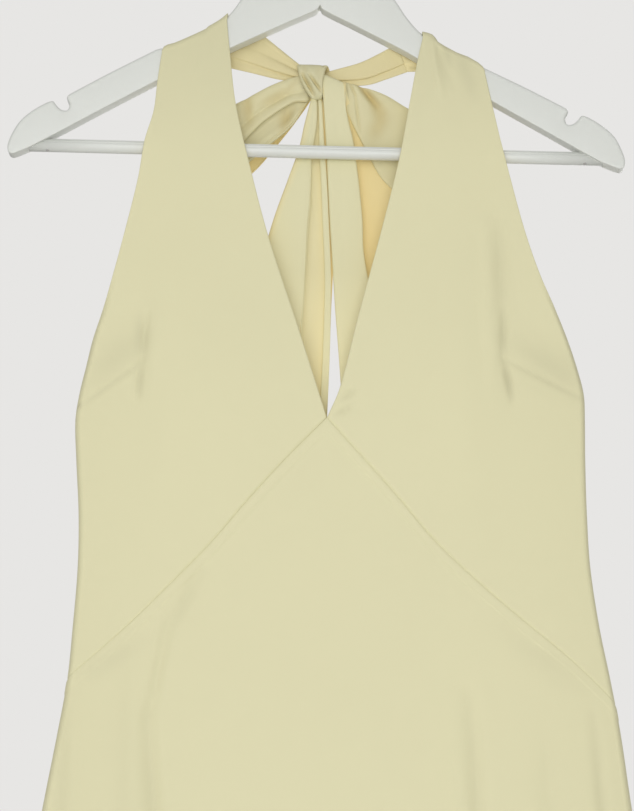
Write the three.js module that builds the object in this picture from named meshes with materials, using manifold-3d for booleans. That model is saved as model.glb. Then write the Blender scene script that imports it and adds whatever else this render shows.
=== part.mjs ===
import * as THREE from 'three';
import Module from 'manifold-3d';
import { mergeVertices } from 'three/addons/utils/BufferGeometryUtils.js';

// A halter dress of thin satin-backed crepe, hung on a white wooden hanger.
// Millimetres, Z up, the front faces -Y. The origin is the inside top of the hook, where a rail holds it.
// "drop" is the distance below that point.

const wasm = await Module();
wasm.setup();

// Cloth
const wall = 1.2;
const tieWall = 1.3;
const seamGap = 0.3;
const halfGap = seamGap / 2;
const hemDrop = 1450;

// Hanger
const hangerTilt = THREE.MathUtils.degToRad(1.5);
const hangerThickness = 14;
const hangerEdge = 2.5;
const armSteps = 20;
const armCrowding = 1.4;
const edgeSteps = 3;
const armGap = 0.6;
const knotGap = 0.35;
const barDrop = 224.8;
const barRadius = 4.8;
const barHalf = 213;
const barFlutes = 10;
const fluteDepth = 0.5;
const fluteSteps = 4;
const fitGap = 0.3;
const socketDepth = 50;
const holeSides = 28;
const wireRadius = 2;
const wireSides = 10;
const wireSteps = 36;
const hookRadius = 20;
const hookBend = { from: -42, to: 206, steps: 12 };
const shank = [
  { x: 0, drop: 100 },
  { x: 0, drop: 78 },
  { x: 0, drop: 60 },
  { x: 2, drop: 49 },
  { x: 7, drop: 40.5 },
];

// Columns across and rows along each wall of cloth, a half width for the two widest
const walls = {
  bodice: { columns: 16, rows: 16 },
  skirt: { columns: 16, rows: 14 },
  back: { columns: 16, rows: 17 },
  band: { columns: 6, rows: 8 },
  loop: { columns: 8, rows: 24 },
  tail: { columns: 10, rows: 18 },
};
const sideCrowding = 0.3;

// Upper line of one arm of the hanger, from the neck out to the notch
const armTop = [
  { out: 12, drop: 73.5 },
  { out: 26, drop: 79.5 },
  { out: 38, drop: 90 },
  { out: 47, drop: 101 },
  { out: 55, drop: 112 },
  { out: 63, drop: 123 },
  { out: 73, drop: 132.5 },
  { out: 97, drop: 147 },
  { out: 117, drop: 157 },
  { out: 150, drop: 172.8 },
  { out: 178, drop: 187 },
];

// Notch and rounded tip, from the upper line round to the lower line
const armTip = [
  { out: 180.9, drop: 190.2 },
  { out: 178.9, drop: 195.6 },
  { out: 180.2, drop: 199.6 },
  { out: 184.4, drop: 201 },
  { out: 188, drop: 198.4 },
  { out: 191, drop: 195.4 },
  { out: 198.2, drop: 198.2 },
  { out: 207.6, drop: 204.2 },
  { out: 214.4, drop: 210.6 },
  { out: 219.4, drop: 218.6 },
  { out: 221.8, drop: 228 },
  { out: 221.2, drop: 234 },
  { out: 218.4, drop: 236.6 },
];

// Lower line, from the tip back to the middle
const armUnder = [
  { out: 203.5, drop: 227 },
  { out: 150, drop: 197 },
  { out: 116, drop: 178 },
  { out: 65, drop: 151 },
  { out: 23, drop: 130 },
  { out: 0, drop: 118.6 },
];

// Side edges of the dress seen from the front: armholes to 412, then side seams
const outline = [
  { drop: 120, left: -111.2, right: 108.8 },
  { drop: 150, left: -116.6, right: 113.6 },
  { drop: 175, left: -121, right: 118 },
  { drop: 210, left: -126.6, right: 124.8 },
  { drop: 247, left: -134.5, right: 133.5 },
  { drop: 285, left: -142.4, right: 143 },
  { drop: 317, left: -150.3, right: 153.2 },
  { drop: 341, left: -157.2, right: 163.7 },
  { drop: 363, left: -164.7, right: 172.8 },
  { drop: 383, left: -169.6, right: 179.4 },
  { drop: 403, left: -174.2, right: 184.2 },
  { drop: 422, left: -176.7, right: 184.7 },
  { drop: 450, left: -175.6, right: 184.5 },
  { drop: 490, left: -173.4, right: 185.1 },
  { drop: 527, left: -173.6, right: 186.9 },
  { drop: 569, left: -176.5, right: 192.6 },
  { drop: 604, left: -179.6, right: 199.3 },
  { drop: 642, left: -186, right: 205.9 },
  { drop: 696, left: -195.9, right: 213 },
  { drop: 900, left: -231, right: 243 },
  { drop: 1200, left: -279, right: 287 },
  { drop: 1450, left: -317, right: 324 },
];

// How far the cloth stands off the middle plane, and the width of its rounding into the side
const depths = [
  { drop: 100, front: 8.8, back: 10, round: 14 },
  { drop: 215, front: 8.8, back: 10, round: 14 },
  { drop: 330, front: 13, back: 11, round: 18 },
  { drop: 410, front: 16, back: 12, round: 20 },
  { drop: 500, front: 14, back: 12, round: 18 },
  { drop: 610, front: 16, back: 14, round: 20 },
  { drop: 700, front: 19, back: 17, round: 24 },
  { drop: 1000, front: 26, back: 25, round: 30 },
  { drop: 1450, front: 36, back: 35, round: 38 },
];

// Neckline edges of the two straps, down to the point of the V
const neckline = [
  { drop: 110, left: -71.6, right: 75.4 },
  { drop: 132, left: -70.2, right: 72.6 },
  { drop: 150, left: -68.4, right: 68.8 },
  { drop: 190, left: -63, right: 61.4 },
  { drop: 232, left: -54.6, right: 53.6 },
  { drop: 290, left: -39.2, right: 39.3 },
  { drop: 350, left: -20.6, right: 23.4 },
  { drop: 400, left: -5, right: 10.8 },
  { drop: 421.5, left: 1.6, right: 1.75 },
];

// Diagonal seams under the bust: "reach" is measured round the cloth from the middle of the front
const seamLeft = [
  { reach: -202, drop: 608 },
  { reach: -148, drop: 570 },
  { reach: -113, drop: 537 },
  { reach: -85.5, drop: 509.5 },
  { reach: -62.7, drop: 483.5 },
  { reach: -33.6, drop: 452.5 },
  { reach: -2.2, drop: 421.5 },
];
const seamRight = [
  { reach: -2.2, drop: 421.5 },
  { reach: 29, drop: 457.5 },
  { reach: 46, drop: 477.8 },
  { reach: 69.5, drop: 507 },
  { reach: 100, drop: 537.3 },
  { reach: 135, drop: 568 },
  { reach: 160, drop: 589.5 },
  { reach: 204, drop: 626 },
];

// Flutes of the skirt: where each starts, where it ends at the hem, and its size there
const frontFlutes = [
  { top: -150, start: 575, hem: -262, width: 34, depth: 15 },
  { top: -84, start: 690, hem: -163, width: 30, depth: 12 },
  { top: -30, start: 760, hem: -72, width: 31, depth: 13 },
  { top: 32, start: 780, hem: 22, width: 30, depth: 11 },
  { top: 84, start: 700, hem: 112, width: 32, depth: 14 },
  { top: 138, start: 620, hem: 196, width: 29, depth: 13 },
  { top: 172, start: 590, hem: 274, width: 32, depth: 15 },
];
const fluteGrowth = 1.1;
const fluteWidthAtTop = 0.6;
const backFlutes = [
  { top: -140, start: 600, hem: -250, width: 35, depth: 15 },
  { top: -92, start: 680, hem: -152, width: 30, depth: 13 },
  { top: -26, start: 740, hem: -58, width: 32, depth: 14 },
  { top: 40, start: 720, hem: 38, width: 30, depth: 12 },
  { top: 96, start: 660, hem: 130, width: 32, depth: 14 },
  { top: 150, start: 610, hem: 246, width: 35, depth: 15 },
];

// Fullness over the bust
const bust = [
  { reach: -92, drop: 385, wide: 52, tall: 66, depth: 4 },
  { reach: 88, drop: 385, wide: 52, tall: 66, depth: 4 },
];

// Back neckline: a low scoop between the underarm points
const underarmDrop = 413;
const scoopDrop = 492;
const scoopPower = 2.4;

// The armhole edges lie flat down to this drop and have turned into the side at the next
const flatDrop = 310;
const turnedDrop = 408;

// Cross seams where each strap meets its neck band behind the hanger
const crossSeam = {
  left: { upper: [-56, 10, -127], lower: [-66.5, 10.5, -158.5] },
  right: { upper: [53, 10, -141], lower: [60.5, 10.5, -161.5] },
};
const strapRows = [0, 0.35, 0.7];
const strapCarry = 7;
const strapPleats = 3;
const pleatDepth = 0.9;

// The ties, as rows across each strip: edge a, edge b and how much of its folds the row has
const neckBands = {
  left: [
    { ax: -55.7, ay: 10, az: -127.2, bx: -66.2, by: 10.5, bz: -158.6, fold: 0.3 },
    { ax: -44, ay: 11.5, az: -135.2, bx: -50, by: 12, bz: -162.4, fold: 1 },
    { ax: -31, ay: 14, az: -145.6, bx: -32, by: 14.5, bz: -165.6, fold: 1 },
    { ax: -16, ay: 17, az: -156.8, bx: -17, by: 18, bz: -167, fold: 0.8 },
    { ax: -9, ay: 19, az: -160.5, bx: -9, by: 20, bz: -168, fold: 0.3 },
  ],
  right: [
    { ax: 52.7, ay: 10, az: -141.2, bx: 60.2, by: 10.5, bz: -161.6, fold: 0.3 },
    { ax: 40, ay: 11.5, az: -147.6, bx: 44, by: 12, bz: -167.2, fold: 1 },
    { ax: 25, ay: 14, az: -154.4, bx: 29, by: 15, bz: -170, fold: 1 },
    { ax: 8, ay: 17.5, az: -158.4, bx: 9, by: 18.5, bz: -168.5, fold: 0.8 },
    { ax: -2, ay: 19.5, az: -161, bx: -2, by: 20.5, bz: -168, fold: 0.3 },
  ],
};
const bandFolds = [{ at: 0.55, width: 0.16, depth: -1.6 }];

const loops = {
  left: [
    { ax: -10, ay: 16.5, az: -164, bx: -10, by: 17, bz: -174, fold: 0 },
    { ax: -19, ay: 13.2, az: -165.6, bx: -17, by: 13.6, bz: -183.5, fold: 0.6 },
    { ax: -35, ay: 12.4, az: -169.6, bx: -29, by: 13.6, bz: -197, fold: 1 },
    { ax: -63, ay: 12.4, az: -184.6, bx: -52, by: 14.5, bz: -220, fold: 1 },
    { ax: -92, ay: 15, az: -199, bx: -79, by: 17.5, bz: -246, fold: 0.7 },
    { ax: -106, ay: 19.5, az: -208, bx: -94, by: 22, bz: -258, fold: 0.2 },
    { ax: -110, ay: 25.5, az: -211, bx: -98, by: 28, bz: -262, fold: 0 },
    { ax: -105, ay: 31.5, az: -209, bx: -93, by: 34, bz: -261, fold: -0.3 },
    { ax: -90, ay: 34.5, az: -200, bx: -77, by: 37, bz: -252, fold: -0.8 },
    { ax: -60, ay: 34, az: -185, bx: -48, by: 36.5, bz: -232, fold: -1 },
    { ax: -32, ay: 30, az: -172, bx: -25, by: 32, bz: -203, fold: -0.8 },
    { ax: -16, ay: 25.5, az: -165.5, bx: -13, by: 26.5, bz: -181, fold: -0.3 },
    { ax: -9, ay: 23.5, az: -165, bx: -8, by: 24, bz: -174, fold: 0 },
  ],
  right: [
    { ax: 0, ay: 17, az: -164.5, bx: 0, by: 17.5, bz: -174, fold: 0 },
    { ax: 9, ay: 14.2, az: -167.5, bx: 8, by: 14.4, bz: -182, fold: 0.5 },
    { ax: 20, ay: 12.4, az: -170.6, bx: 16, by: 13.4, bz: -193, fold: 1 },
    { ax: 41, ay: 12.2, az: -177.2, bx: 29.5, by: 13.6, bz: -218.5, fold: 1 },
    { ax: 63, ay: 12.6, az: -189.4, bx: 50, by: 14.5, bz: -248.5, fold: 1 },
    { ax: 91, ay: 15, az: -204, bx: 78, by: 17.5, bz: -268, fold: 0.7 },
    { ax: 105, ay: 19.5, az: -213, bx: 93, by: 22, bz: -277, fold: 0.2 },
    { ax: 109, ay: 25.5, az: -216, bx: 97, by: 28, bz: -280, fold: 0 },
    { ax: 104, ay: 31.5, az: -214, bx: 92, by: 34, bz: -278, fold: -0.3 },
    { ax: 90, ay: 34.5, az: -205, bx: 77, by: 37, bz: -270, fold: -0.8 },
    { ax: 60, ay: 34, az: -190, bx: 49, by: 36.5, bz: -252, fold: -1 },
    { ax: 30, ay: 30, az: -177, bx: 24, by: 32, bz: -214, fold: -0.8 },
    { ax: 10, ay: 25.5, az: -167.5, bx: 9, by: 26.5, bz: -184, fold: -0.3 },
    { ax: 0, ay: 23.5, az: -165.5, bx: 0, by: 24, bz: -174, fold: 0 },
  ],
};
const loopFolds = {
  left: [
    { at: 0.3, width: 0.12, depth: -1.6 },
    { at: 0.68, width: 0.12, depth: 1.6 },
  ],
  right: [
    { at: 0.25, width: 0.13, depth: -1.8 },
    { at: 0.62, width: 0.12, depth: 1.4 },
  ],
};

const tails = {
  left: [
    { ax: -9, ay: 18, az: -174, bx: -4, by: 18, bz: -174, fold: 0 },
    { ax: -9.4, ay: 12.5, az: -180.5, bx: -3, by: 12.5, bz: -180.5, fold: 0.2 },
    { ax: -10.6, ay: 9.4, az: -188, bx: -2.2, by: 9.4, bz: -188, fold: 0.4 },
    { ax: -14, ay: 7.8, az: -201, bx: -1.2, by: 7.8, bz: -201, fold: 0.5 },
    { ax: -22, ay: 7.2, az: -225, bx: -0.4, by: 7.2, bz: -225, fold: 0.7 },
    { ax: -32, ay: 7.8, az: -257, bx: 1.2, by: 7.8, bz: -257, fold: 0.9 },
    { ax: -43.5, ay: 9.4, az: -300, bx: 3.6, by: 9.4, bz: -300, fold: 1 },
    { ax: -57, ay: 11.4, az: -360, bx: 4.2, by: 11.4, bz: -360, fold: 1 },
    { ax: -68, ay: 13.6, az: -415, bx: 2.6, by: 13.6, bz: -415, fold: 1 },
    { ax: -76, ay: 16.4, az: -480, bx: -1, by: 16.4, bz: -480, fold: 0.9 },
    { ax: -81, ay: 18.4, az: -550, bx: -5, by: 18.4, bz: -550, fold: 0.8 },
    { ax: -84, ay: 20.6, az: -640, bx: -9, by: 20.6, bz: -610, fold: 0.7 },
  ],
  right: [
    { ax: -6, ay: 15, az: -166, bx: -2, by: 15.5, bz: -172, fold: 0 },
    { ax: -1.5, ay: 10.4, az: -162.6, bx: 14, by: 11, bz: -169.6, fold: 0 },
    { ax: -0.6, ay: 7.6, az: -176, bx: 15, by: 8.4, bz: -179, fold: 0.2 },
    { ax: 0, ay: 7, az: -192, bx: 17, by: 7.6, bz: -192, fold: 0.5 },
    { ax: 2.9, ay: 6.9, az: -214, bx: 30, by: 7.4, bz: -214, fold: 0.8 },
    { ax: 4.3, ay: 7.2, az: -250, bx: 50, by: 7.6, bz: -250, fold: 1 },
    { ax: 6.2, ay: 9, az: -300, bx: 62, by: 9.2, bz: -300, fold: 1 },
    { ax: 9.6, ay: 11.2, az: -360, bx: 74, by: 11.2, bz: -360, fold: 1 },
    { ax: 12.6, ay: 13.6, az: -415, bx: 85, by: 13.6, bz: -415, fold: 1 },
    { ax: 15, ay: 16.4, az: -480, bx: 91, by: 16.4, bz: -480, fold: 0.9 },
    { ax: 17, ay: 18.4, az: -550, bx: 94, by: 18.4, bz: -550, fold: 0.8 },
    { ax: 19, ay: 20.6, az: -598, bx: 96, by: 20.6, bz: -632, fold: 0.7 },
  ],
};
const tailFolds = {
  left: [
    { at: 0.74, width: 0.15, depth: 2.4 },
    { at: 0.3, width: 0.14, depth: 0.8 },
  ],
  right: [
    { at: 0.6, width: 0.13, depth: 2.4 },
    { at: 0.85, width: 0.1, depth: 0.8 },
  ],
};

// The knot: a wrapped lump, wider to the upper left and lower right
const knotCentre = [-7.2, 21, -169];
const knotHalf = [12.4, 9, 11.2];
const knotLean = THREE.MathUtils.degToRad(-20);
const knotRidges = 5;
const knotRidgeDepth = 0.05;
const knotTwist = 2.4;
const knotSides = 22;
const knotRings = 14;

// Colours and finishes
const clothFinish = { color: 0xdcd8b3, roughness: 0.62, metalness: 0, side: THREE.DoubleSide };
const woodFinish = { color: 0xdadcd6, roughness: 0.5, metalness: 0 };
const steelFinish = { color: 0xc8c9ca, roughness: 0.28, metalness: 1 };

// A smooth curve through one column of a table, straight beyond its ends
function column(table, key, name) {
  const last = table.length - 1;
  const slope = (k) => {
    const below = table[Math.max(k - 1, 0)];
    const above = table[Math.min(k + 1, last)];
    return (above[name] - below[name]) / (above[key] - below[key]);
  };
  return (at) => {
    if (at <= table[0][key]) return table[0][name] + slope(0) * (at - table[0][key]);
    if (at >= table[last][key]) return table[last][name] + slope(last) * (at - table[last][key]);
    let k = 0;
    while (at > table[k + 1][key]) k += 1;
    const span = table[k + 1][key] - table[k][key];
    const t = (at - table[k][key]) / span;
    const bend = t * t * (3 - 2 * t);
    const rise = slope(k) * t * (1 - t) * (1 - t) - slope(k + 1) * t * t * (1 - t);
    return THREE.MathUtils.lerp(table[k][name], table[k + 1][name], bend) + rise * span;
  };
}

// Repeats a step until a value that depends on itself has settled
function settle(start, step) {
  let value = start;
  for (let round = 0; round < 12; round += 1) value = step(value);
  return value;
}

const leftEdge = column(outline, 'drop', 'left');
const rightEdge = column(outline, 'drop', 'right');
const depthOf = {
  front: column(depths, 'drop', 'front'),
  back: column(depths, 'drop', 'back'),
};
const roundingOf = column(depths, 'drop', 'round');
const neckEdge = { left: column(neckline, 'drop', 'left'), right: column(neckline, 'drop', 'right') };
const seamDrop = { left: column(seamLeft, 'reach', 'drop'), right: column(seamRight, 'reach', 'drop') };
const armTopDrop = column(armTop, 'out', 'drop');

// Sizes of the flattened body at one height
function section(drop) {
  const centre = (leftEdge(drop) + rightEdge(drop)) / 2;
  const half = (rightEdge(drop) - leftEdge(drop)) / 2;
  const round = roundingOf(drop);
  return { centre, half, round, reach: half - round + (round * Math.PI) / 2 };
}

function flutes(table, reach, drop) {
  return table.reduce((sum, flute) => {
    const fall = THREE.MathUtils.clamp((drop - flute.start) / (hemDrop - flute.start), 0, 1.1);
    const centre = THREE.MathUtils.lerp(flute.top, flute.hem, fall);
    const width = flute.width * THREE.MathUtils.lerp(fluteWidthAtTop, 1, fall);
    return sum + flute.depth * fall ** fluteGrowth * Math.exp(-(((reach - centre) / width) ** 2));
  }, 0);
}

function fullness(reach, drop) {
  return bust.reduce((sum, cup) => {
    const away = ((reach - cup.reach) / cup.wide) ** 2 + ((drop - cup.drop) / cup.tall) ** 2;
    return sum + cup.depth * Math.exp(-away);
  }, 0);
}

// A point of the outer face, at a reach round the cloth from the middle and a drop; facing is -1 or 1
function bodyPoint(facing, reach, drop) {
  const { centre, half, round } = section(drop);
  const outward = facing < 0 ? 'front' : 'back';
  const turned = facing < 0 ? THREE.MathUtils.smoothstep(drop, flatDrop, turnedDrop) : 1;
  const past = Math.max(Math.abs(reach) - (half - round), 0);
  const turn = past / round;
  const flatRun = (past * 2) / Math.PI;
  const across = Math.min(Math.abs(reach), half - round);
  const side = THREE.MathUtils.lerp(flatRun, round * Math.sin(turn), turned);
  const x = centre + Math.sign(reach) * (across + side);
  const fade = 1 - turned * (1 - Math.cos(turn));
  const relief = facing < 0
    ? flutes(frontFlutes, reach, drop) + fullness(reach, drop)
    : flutes(backFlutes, reach, drop);
  const y = (depthOf[outward](drop) - halfGap + relief) * fade + halfGap;
  return new THREE.Vector3(x, facing * y, -drop);
}

// A closed wall: point gives its outer face, and the wall lies on the side that "inward" picks
function sheet(point, across, along, thickness, inward) {
  const step = 1e-3;
  const tangent = (s, t, ds, dt) => point(s + ds, t + dt).sub(point(s - ds, t - dt));
  const positions = [];
  for (const t of along) {
    for (const s of across) {
      const outer = point(s, t);
      const normal = tangent(s, t, step, 0).cross(tangent(s, t, 0, step)).normalize();
      const inner = outer.clone().addScaledVector(normal, inward * thickness);
      positions.push(...outer.toArray(), ...inner.toArray());
    }
  }
  const columns = across.length;
  const rows = along.length;
  const id = (i, j, layer) => 2 * (j * columns + i) + layer;
  const index = [];
  const quad = (a, b, c, d) => {
    if (inward < 0) index.push(a, b, c, a, c, d);
    else index.push(a, c, b, a, d, c);
  };
  for (let j = 0; j < rows - 1; j += 1) {
    for (let i = 0; i < columns - 1; i += 1) {
      quad(id(i, j, 0), id(i + 1, j, 0), id(i + 1, j + 1, 0), id(i, j + 1, 0));
      quad(id(i, j, 1), id(i, j + 1, 1), id(i + 1, j + 1, 1), id(i + 1, j, 1));
    }
  }
  for (let i = 0; i < columns - 1; i += 1) {
    quad(id(i, 0, 0), id(i, 0, 1), id(i + 1, 0, 1), id(i + 1, 0, 0));
    quad(id(i, rows - 1, 0), id(i + 1, rows - 1, 0), id(i + 1, rows - 1, 1), id(i, rows - 1, 1));
  }
  for (let j = 0; j < rows - 1; j += 1) {
    quad(id(0, j, 0), id(0, j + 1, 0), id(0, j + 1, 1), id(0, j, 1));
    quad(id(columns - 1, j, 0), id(columns - 1, j, 1), id(columns - 1, j + 1, 1), id(columns - 1, j + 1, 0));
  }
  const geometry = new THREE.BufferGeometry();
  geometry.setAttribute('position', new THREE.Float32BufferAttribute(positions, 3));
  geometry.setIndex(index);
  return geometry;
}

function evenly(count, from = 0, to = 1) {
  return Array.from({ length: count + 1 }, (_, k) => THREE.MathUtils.lerp(from, to, k / count));
}

// Closer together towards 1, where the cloth turns round the side
function crowded(count) {
  return evenly(count).map((s) => s + (sideCrowding * Math.sin(Math.PI * s)) / Math.PI);
}

// The hanger's upper line in the dress's frame: the drop at x, and how much its slope stretches a height
function overArm(x) {
  const sin = Math.sin(hangerTilt);
  const cos = Math.cos(hangerTilt);
  const own = (drop) => x * cos + drop * sin;
  const drop = settle(armTop[0].drop, (guess) => own(guess) * sin + armTopDrop(Math.abs(own(guess))) * cos);
  const out = Math.abs(own(drop));
  const slope = armTopDrop(out + 0.5) - armTopDrop(out - 0.5);
  return { drop, stretch: Math.hypot(1, slope) };
}

// The strap's path over the arm: 0 at the back, 1 at the front
const saddleRadius = hangerEdge + armGap + wall;
const saddleFlat = hangerThickness / 2 - hangerEdge;
const saddleTurn = (saddleRadius * Math.PI) / 2;
const saddleShare = saddleTurn / (2 * (saddleTurn + saddleFlat));
const saddleRows = [0, saddleShare / 2, saddleShare, 1 - saddleShare, 1 - saddleShare / 2, 1];
function saddle(x, t) {
  const run = (1 - t) * (2 * saddleTurn + 2 * saddleFlat) - saddleTurn - saddleFlat;
  const turn = Math.min(Math.max(Math.abs(run) - saddleFlat, 0) / saddleRadius, Math.PI / 2);
  const flat = Math.min(Math.abs(run), saddleFlat);
  const { drop, stretch } = overArm(x);
  const lift = (saddleRadius * Math.cos(turn) - hangerEdge) * stretch;
  return new THREE.Vector3(x, Math.sign(run) * (flat + saddleRadius * Math.sin(turn)), -drop + lift);
}

// Where an edge of the strap comes down off the arm, in front
function strapCorner(edge) {
  const at = (x) => {
    const { drop, stretch } = overArm(x);
    return drop + hangerEdge * stretch;
  };
  const x = settle(edge(outline[0].drop), (guess) => edge(at(guess)));
  return { x, drop: at(x) };
}

// Where a diagonal seam meets its side seam
function seamEnd(side) {
  const sign = side === 'left' ? -1 : 1;
  return settle(underarmDrop, (drop) => seamDrop[side](sign * section(drop).reach));
}

const apexReach = seamRight[0].reach;

// One front panel with its strap. s runs from the neckline to the side.
// t runs from the cross seam: 0 to 1 behind the hanger, 1 to 2 over it, 2 to 3 down the front.
function bodicePoint(side) {
  const sign = side === 'left' ? -1 : 1;
  const sideEdge = side === 'left' ? leftEdge : rightEdge;
  const inner = strapCorner(neckEdge[side]);
  const outer = strapCorner(sideEdge);
  const apexDrop = seamDrop[side](apexReach) - seamGap;
  const endDrop = seamEnd(side) - seamGap;
  const endReach = sign * section(seamEnd(side)).reach;
  const seam = crossSeam[side];
  const lerp = THREE.MathUtils.lerp;
  const front = (s, v) => {
    const innerDrop = lerp(inner.drop, apexDrop, v);
    const outerDrop = lerp(outer.drop, endDrop, v);
    const innerReach = neckEdge[side](innerDrop) - section(innerDrop).centre;
    const outerReach = sign * section(outerDrop).reach;
    const reach = lerp(innerReach, outerReach, s) + sign * halfGap * (1 - s);
    const x = lerp(inner.x, outer.x, s);
    const { drop, stretch } = overArm(x);
    const topBow = drop + hangerEdge * stretch - lerp(inner.drop, outer.drop, s);
    const seamBow = seamDrop[side](lerp(apexReach, endReach, s)) - seamGap - lerp(apexDrop, endDrop, s);
    const fall = lerp(innerDrop, outerDrop, s) + topBow * (1 - v) ** 3 + seamBow * v ** 3;
    return bodyPoint(-1, reach, fall);
  };
  const over = (s, v) => saddle(lerp(inner.x, outer.x, s) - sign * strapCarry * s * (1 - v), v);
  const behind = (s, v) => {
    const pleat = pleatDepth * Math.sin(Math.PI * v) * (1 - Math.cos(2 * Math.PI * strapPleats * s));
    const from = new THREE.Vector3(...seam.upper).lerp(new THREE.Vector3(...seam.lower), s);
    return from.lerp(over(s, 0), v).add(new THREE.Vector3(0, pleat, 0));
  };
  return (s, t) => {
    if (t > 2) return front(s, t - 2);
    return t > 1 ? over(s, t - 1) : behind(s, t);
  };
}

function frontBodice(side) {
  const { columns, rows } = walls.bodice;
  const along = [...strapRows, ...saddleRows.map((row) => row + 1), ...evenly(rows, 2, 3).slice(1)];
  return sheet(bodicePoint(side), crowded(columns), along, wall, side === 'left' ? -1 : 1);
}

// Columns of a panel that is as wide on both sides of its middle
function bothSides(columns) {
  const half = crowded(columns);
  return [...half.slice(1).reverse().map((s) => -s), ...half];
}

// The skirt's front: s from -1 at the left side to 1, t from the diagonal seams to the hem
function frontSkirt() {
  const ends = { left: seamEnd('left'), right: seamEnd('right') };
  const point = (s, t) => {
    const side = s < 0 ? 'left' : 'right';
    const sideReach = Math.sign(s) * section(ends[side]).reach;
    const topReach = THREE.MathUtils.lerp(apexReach, sideReach, Math.abs(s));
    const topDrop = seamDrop[side](topReach) + seamGap;
    const drop = THREE.MathUtils.lerp(topDrop, hemDrop, t);
    const share = THREE.MathUtils.lerp(topReach / section(topDrop).reach, s, t);
    return bodyPoint(-1, share * section(drop).reach, drop);
  };
  return sheet(point, bothSides(walls.skirt.columns), evenly(walls.skirt.rows), wall, -1);
}

function backPanel() {
  const point = (s, t) => {
    const scoop = (scoopDrop - underarmDrop) * (1 - Math.abs(s) ** scoopPower);
    const drop = THREE.MathUtils.lerp(underarmDrop + scoop, hemDrop, t);
    return bodyPoint(1, s * section(drop).reach, drop);
  };
  return sheet(point, bothSides(walls.back.columns), evenly(walls.back.rows), wall, 1);
}

// A strip of the ties: s from edge a to edge b, t from its first row to its last
function strip(rows, folds, facing, size) {
  const table = rows.map((row, at) => ({ ...row, at: at / (rows.length - 1) }));
  const curve = Object.fromEntries(
    ['ax', 'ay', 'az', 'bx', 'by', 'bz', 'fold'].map((name) => [name, column(table, 'at', name)]),
  );
  const point = (s, t) => {
    const a = new THREE.Vector3(curve.ax(t), curve.ay(t), curve.az(t));
    const b = new THREE.Vector3(curve.bx(t), curve.by(t), curve.bz(t));
    const relief = folds.reduce((sum, f) => sum + f.depth * Math.exp(-(((s - f.at) / f.width) ** 2)), 0);
    return a.lerp(b, s).add(new THREE.Vector3(0, relief * curve.fold(t), 0));
  };
  return sheet(point, evenly(size.columns), evenly(size.rows), tieWall, facing);
}

function knotShape(swell) {
  const geometry = new THREE.SphereGeometry(1, knotSides, knotRings);
  const spots = geometry.attributes.position;
  for (let k = 0; k < spots.count; k += 1) {
    const spot = new THREE.Vector3().fromBufferAttribute(spots, k);
    const turn = Math.atan2(spot.z, spot.x);
    const flank = Math.hypot(spot.x, spot.z);
    spot.multiplyScalar(1 + knotRidgeDepth * flank * Math.cos(knotRidges * turn + knotTwist * spot.y));
    spot.multiply(new THREE.Vector3(...knotHalf).addScalar(swell));
    spots.setXYZ(k, spot.x, spot.y, spot.z);
  }
  return geometry.rotateY(knotLean).translate(...knotCentre);
}

// Meshes to solids and back
function toSolid(geometry) {
  const bare = geometry.clone();
  bare.deleteAttribute('normal');
  bare.deleteAttribute('uv');
  const merged = mergeVertices(bare, 1e-4);
  return new wasm.Manifold(new wasm.Mesh({
    numProp: 3,
    vertProperties: new Float32Array(merged.attributes.position.array),
    triVerts: new Uint32Array(merged.index.array),
  }));
}

function toGeometry(solid) {
  const { vertProperties, triVerts } = solid.getMesh();
  const geometry = new THREE.BufferGeometry();
  geometry.setAttribute('position', new THREE.BufferAttribute(vertProperties, 3));
  geometry.setIndex(new THREE.BufferAttribute(triVerts, 1));
  return geometry;
}

const knotRoom = toSolid(knotShape(knotGap));
function clearOfKnot(geometry) {
  return toGeometry(toSolid(geometry).subtract(knotRoom));
}

// Hanger pieces, in the hanger's own untilted frame
function hangerOutline() {
  const top = evenly(armSteps).map((t) => {
    const out = THREE.MathUtils.lerp(armTop[0].out, armTop[armTop.length - 1].out, t ** armCrowding);
    return { out, drop: armTopDrop(out) };
  });
  const half = [...top, ...armTip, ...armUnder.slice(0, -1)];
  const right = half.map((row) => new THREE.Vector2(row.out, -row.drop));
  const left = half.map((row) => new THREE.Vector2(-row.out, -row.drop)).reverse();
  const middle = armUnder[armUnder.length - 1];
  return new THREE.Shape([...right, new THREE.Vector2(0, -middle.drop), ...left]);
}

function holeCutter(radius, length) {
  return new THREE.CylinderGeometry(radius, radius, length, holeSides);
}

// An outline round a circle; radiusAt gives the radius at each of its points
function ring(sides, radiusAt) {
  return new THREE.Shape(Array.from({ length: sides }, (_, k) => (
    new THREE.Vector2(radiusAt(k), 0).rotateAround(new THREE.Vector2(), (k / sides) * 2 * Math.PI)
  )));
}

function hangerBody() {
  const geometry = new THREE.ExtrudeGeometry(hangerOutline(), {
    depth: hangerThickness - 2 * hangerEdge,
    bevelThickness: hangerEdge,
    bevelSize: hangerEdge,
    bevelOffset: -hangerEdge,
    bevelSegments: edgeSteps,
  });
  geometry.translate(0, 0, hangerEdge - hangerThickness / 2).rotateX(Math.PI / 2);
  const reach = barHalf + fitGap;
  let solid = toSolid(geometry);
  for (const sign of [-1, 1]) {
    const socket = holeCutter(barRadius + fitGap, socketDepth).rotateZ(Math.PI / 2);
    socket.translate(sign * (reach - socketDepth / 2), 0, -barDrop);
    solid = solid.subtract(toSolid(socket));
  }
  const depth = shank[0].drop;
  const hole = holeCutter(wireRadius + fitGap, depth).rotateX(Math.PI / 2);
  hole.translate(0, 0, -depth / 2 - fitGap);
  return toGeometry(solid.subtract(toSolid(hole)));
}

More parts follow.
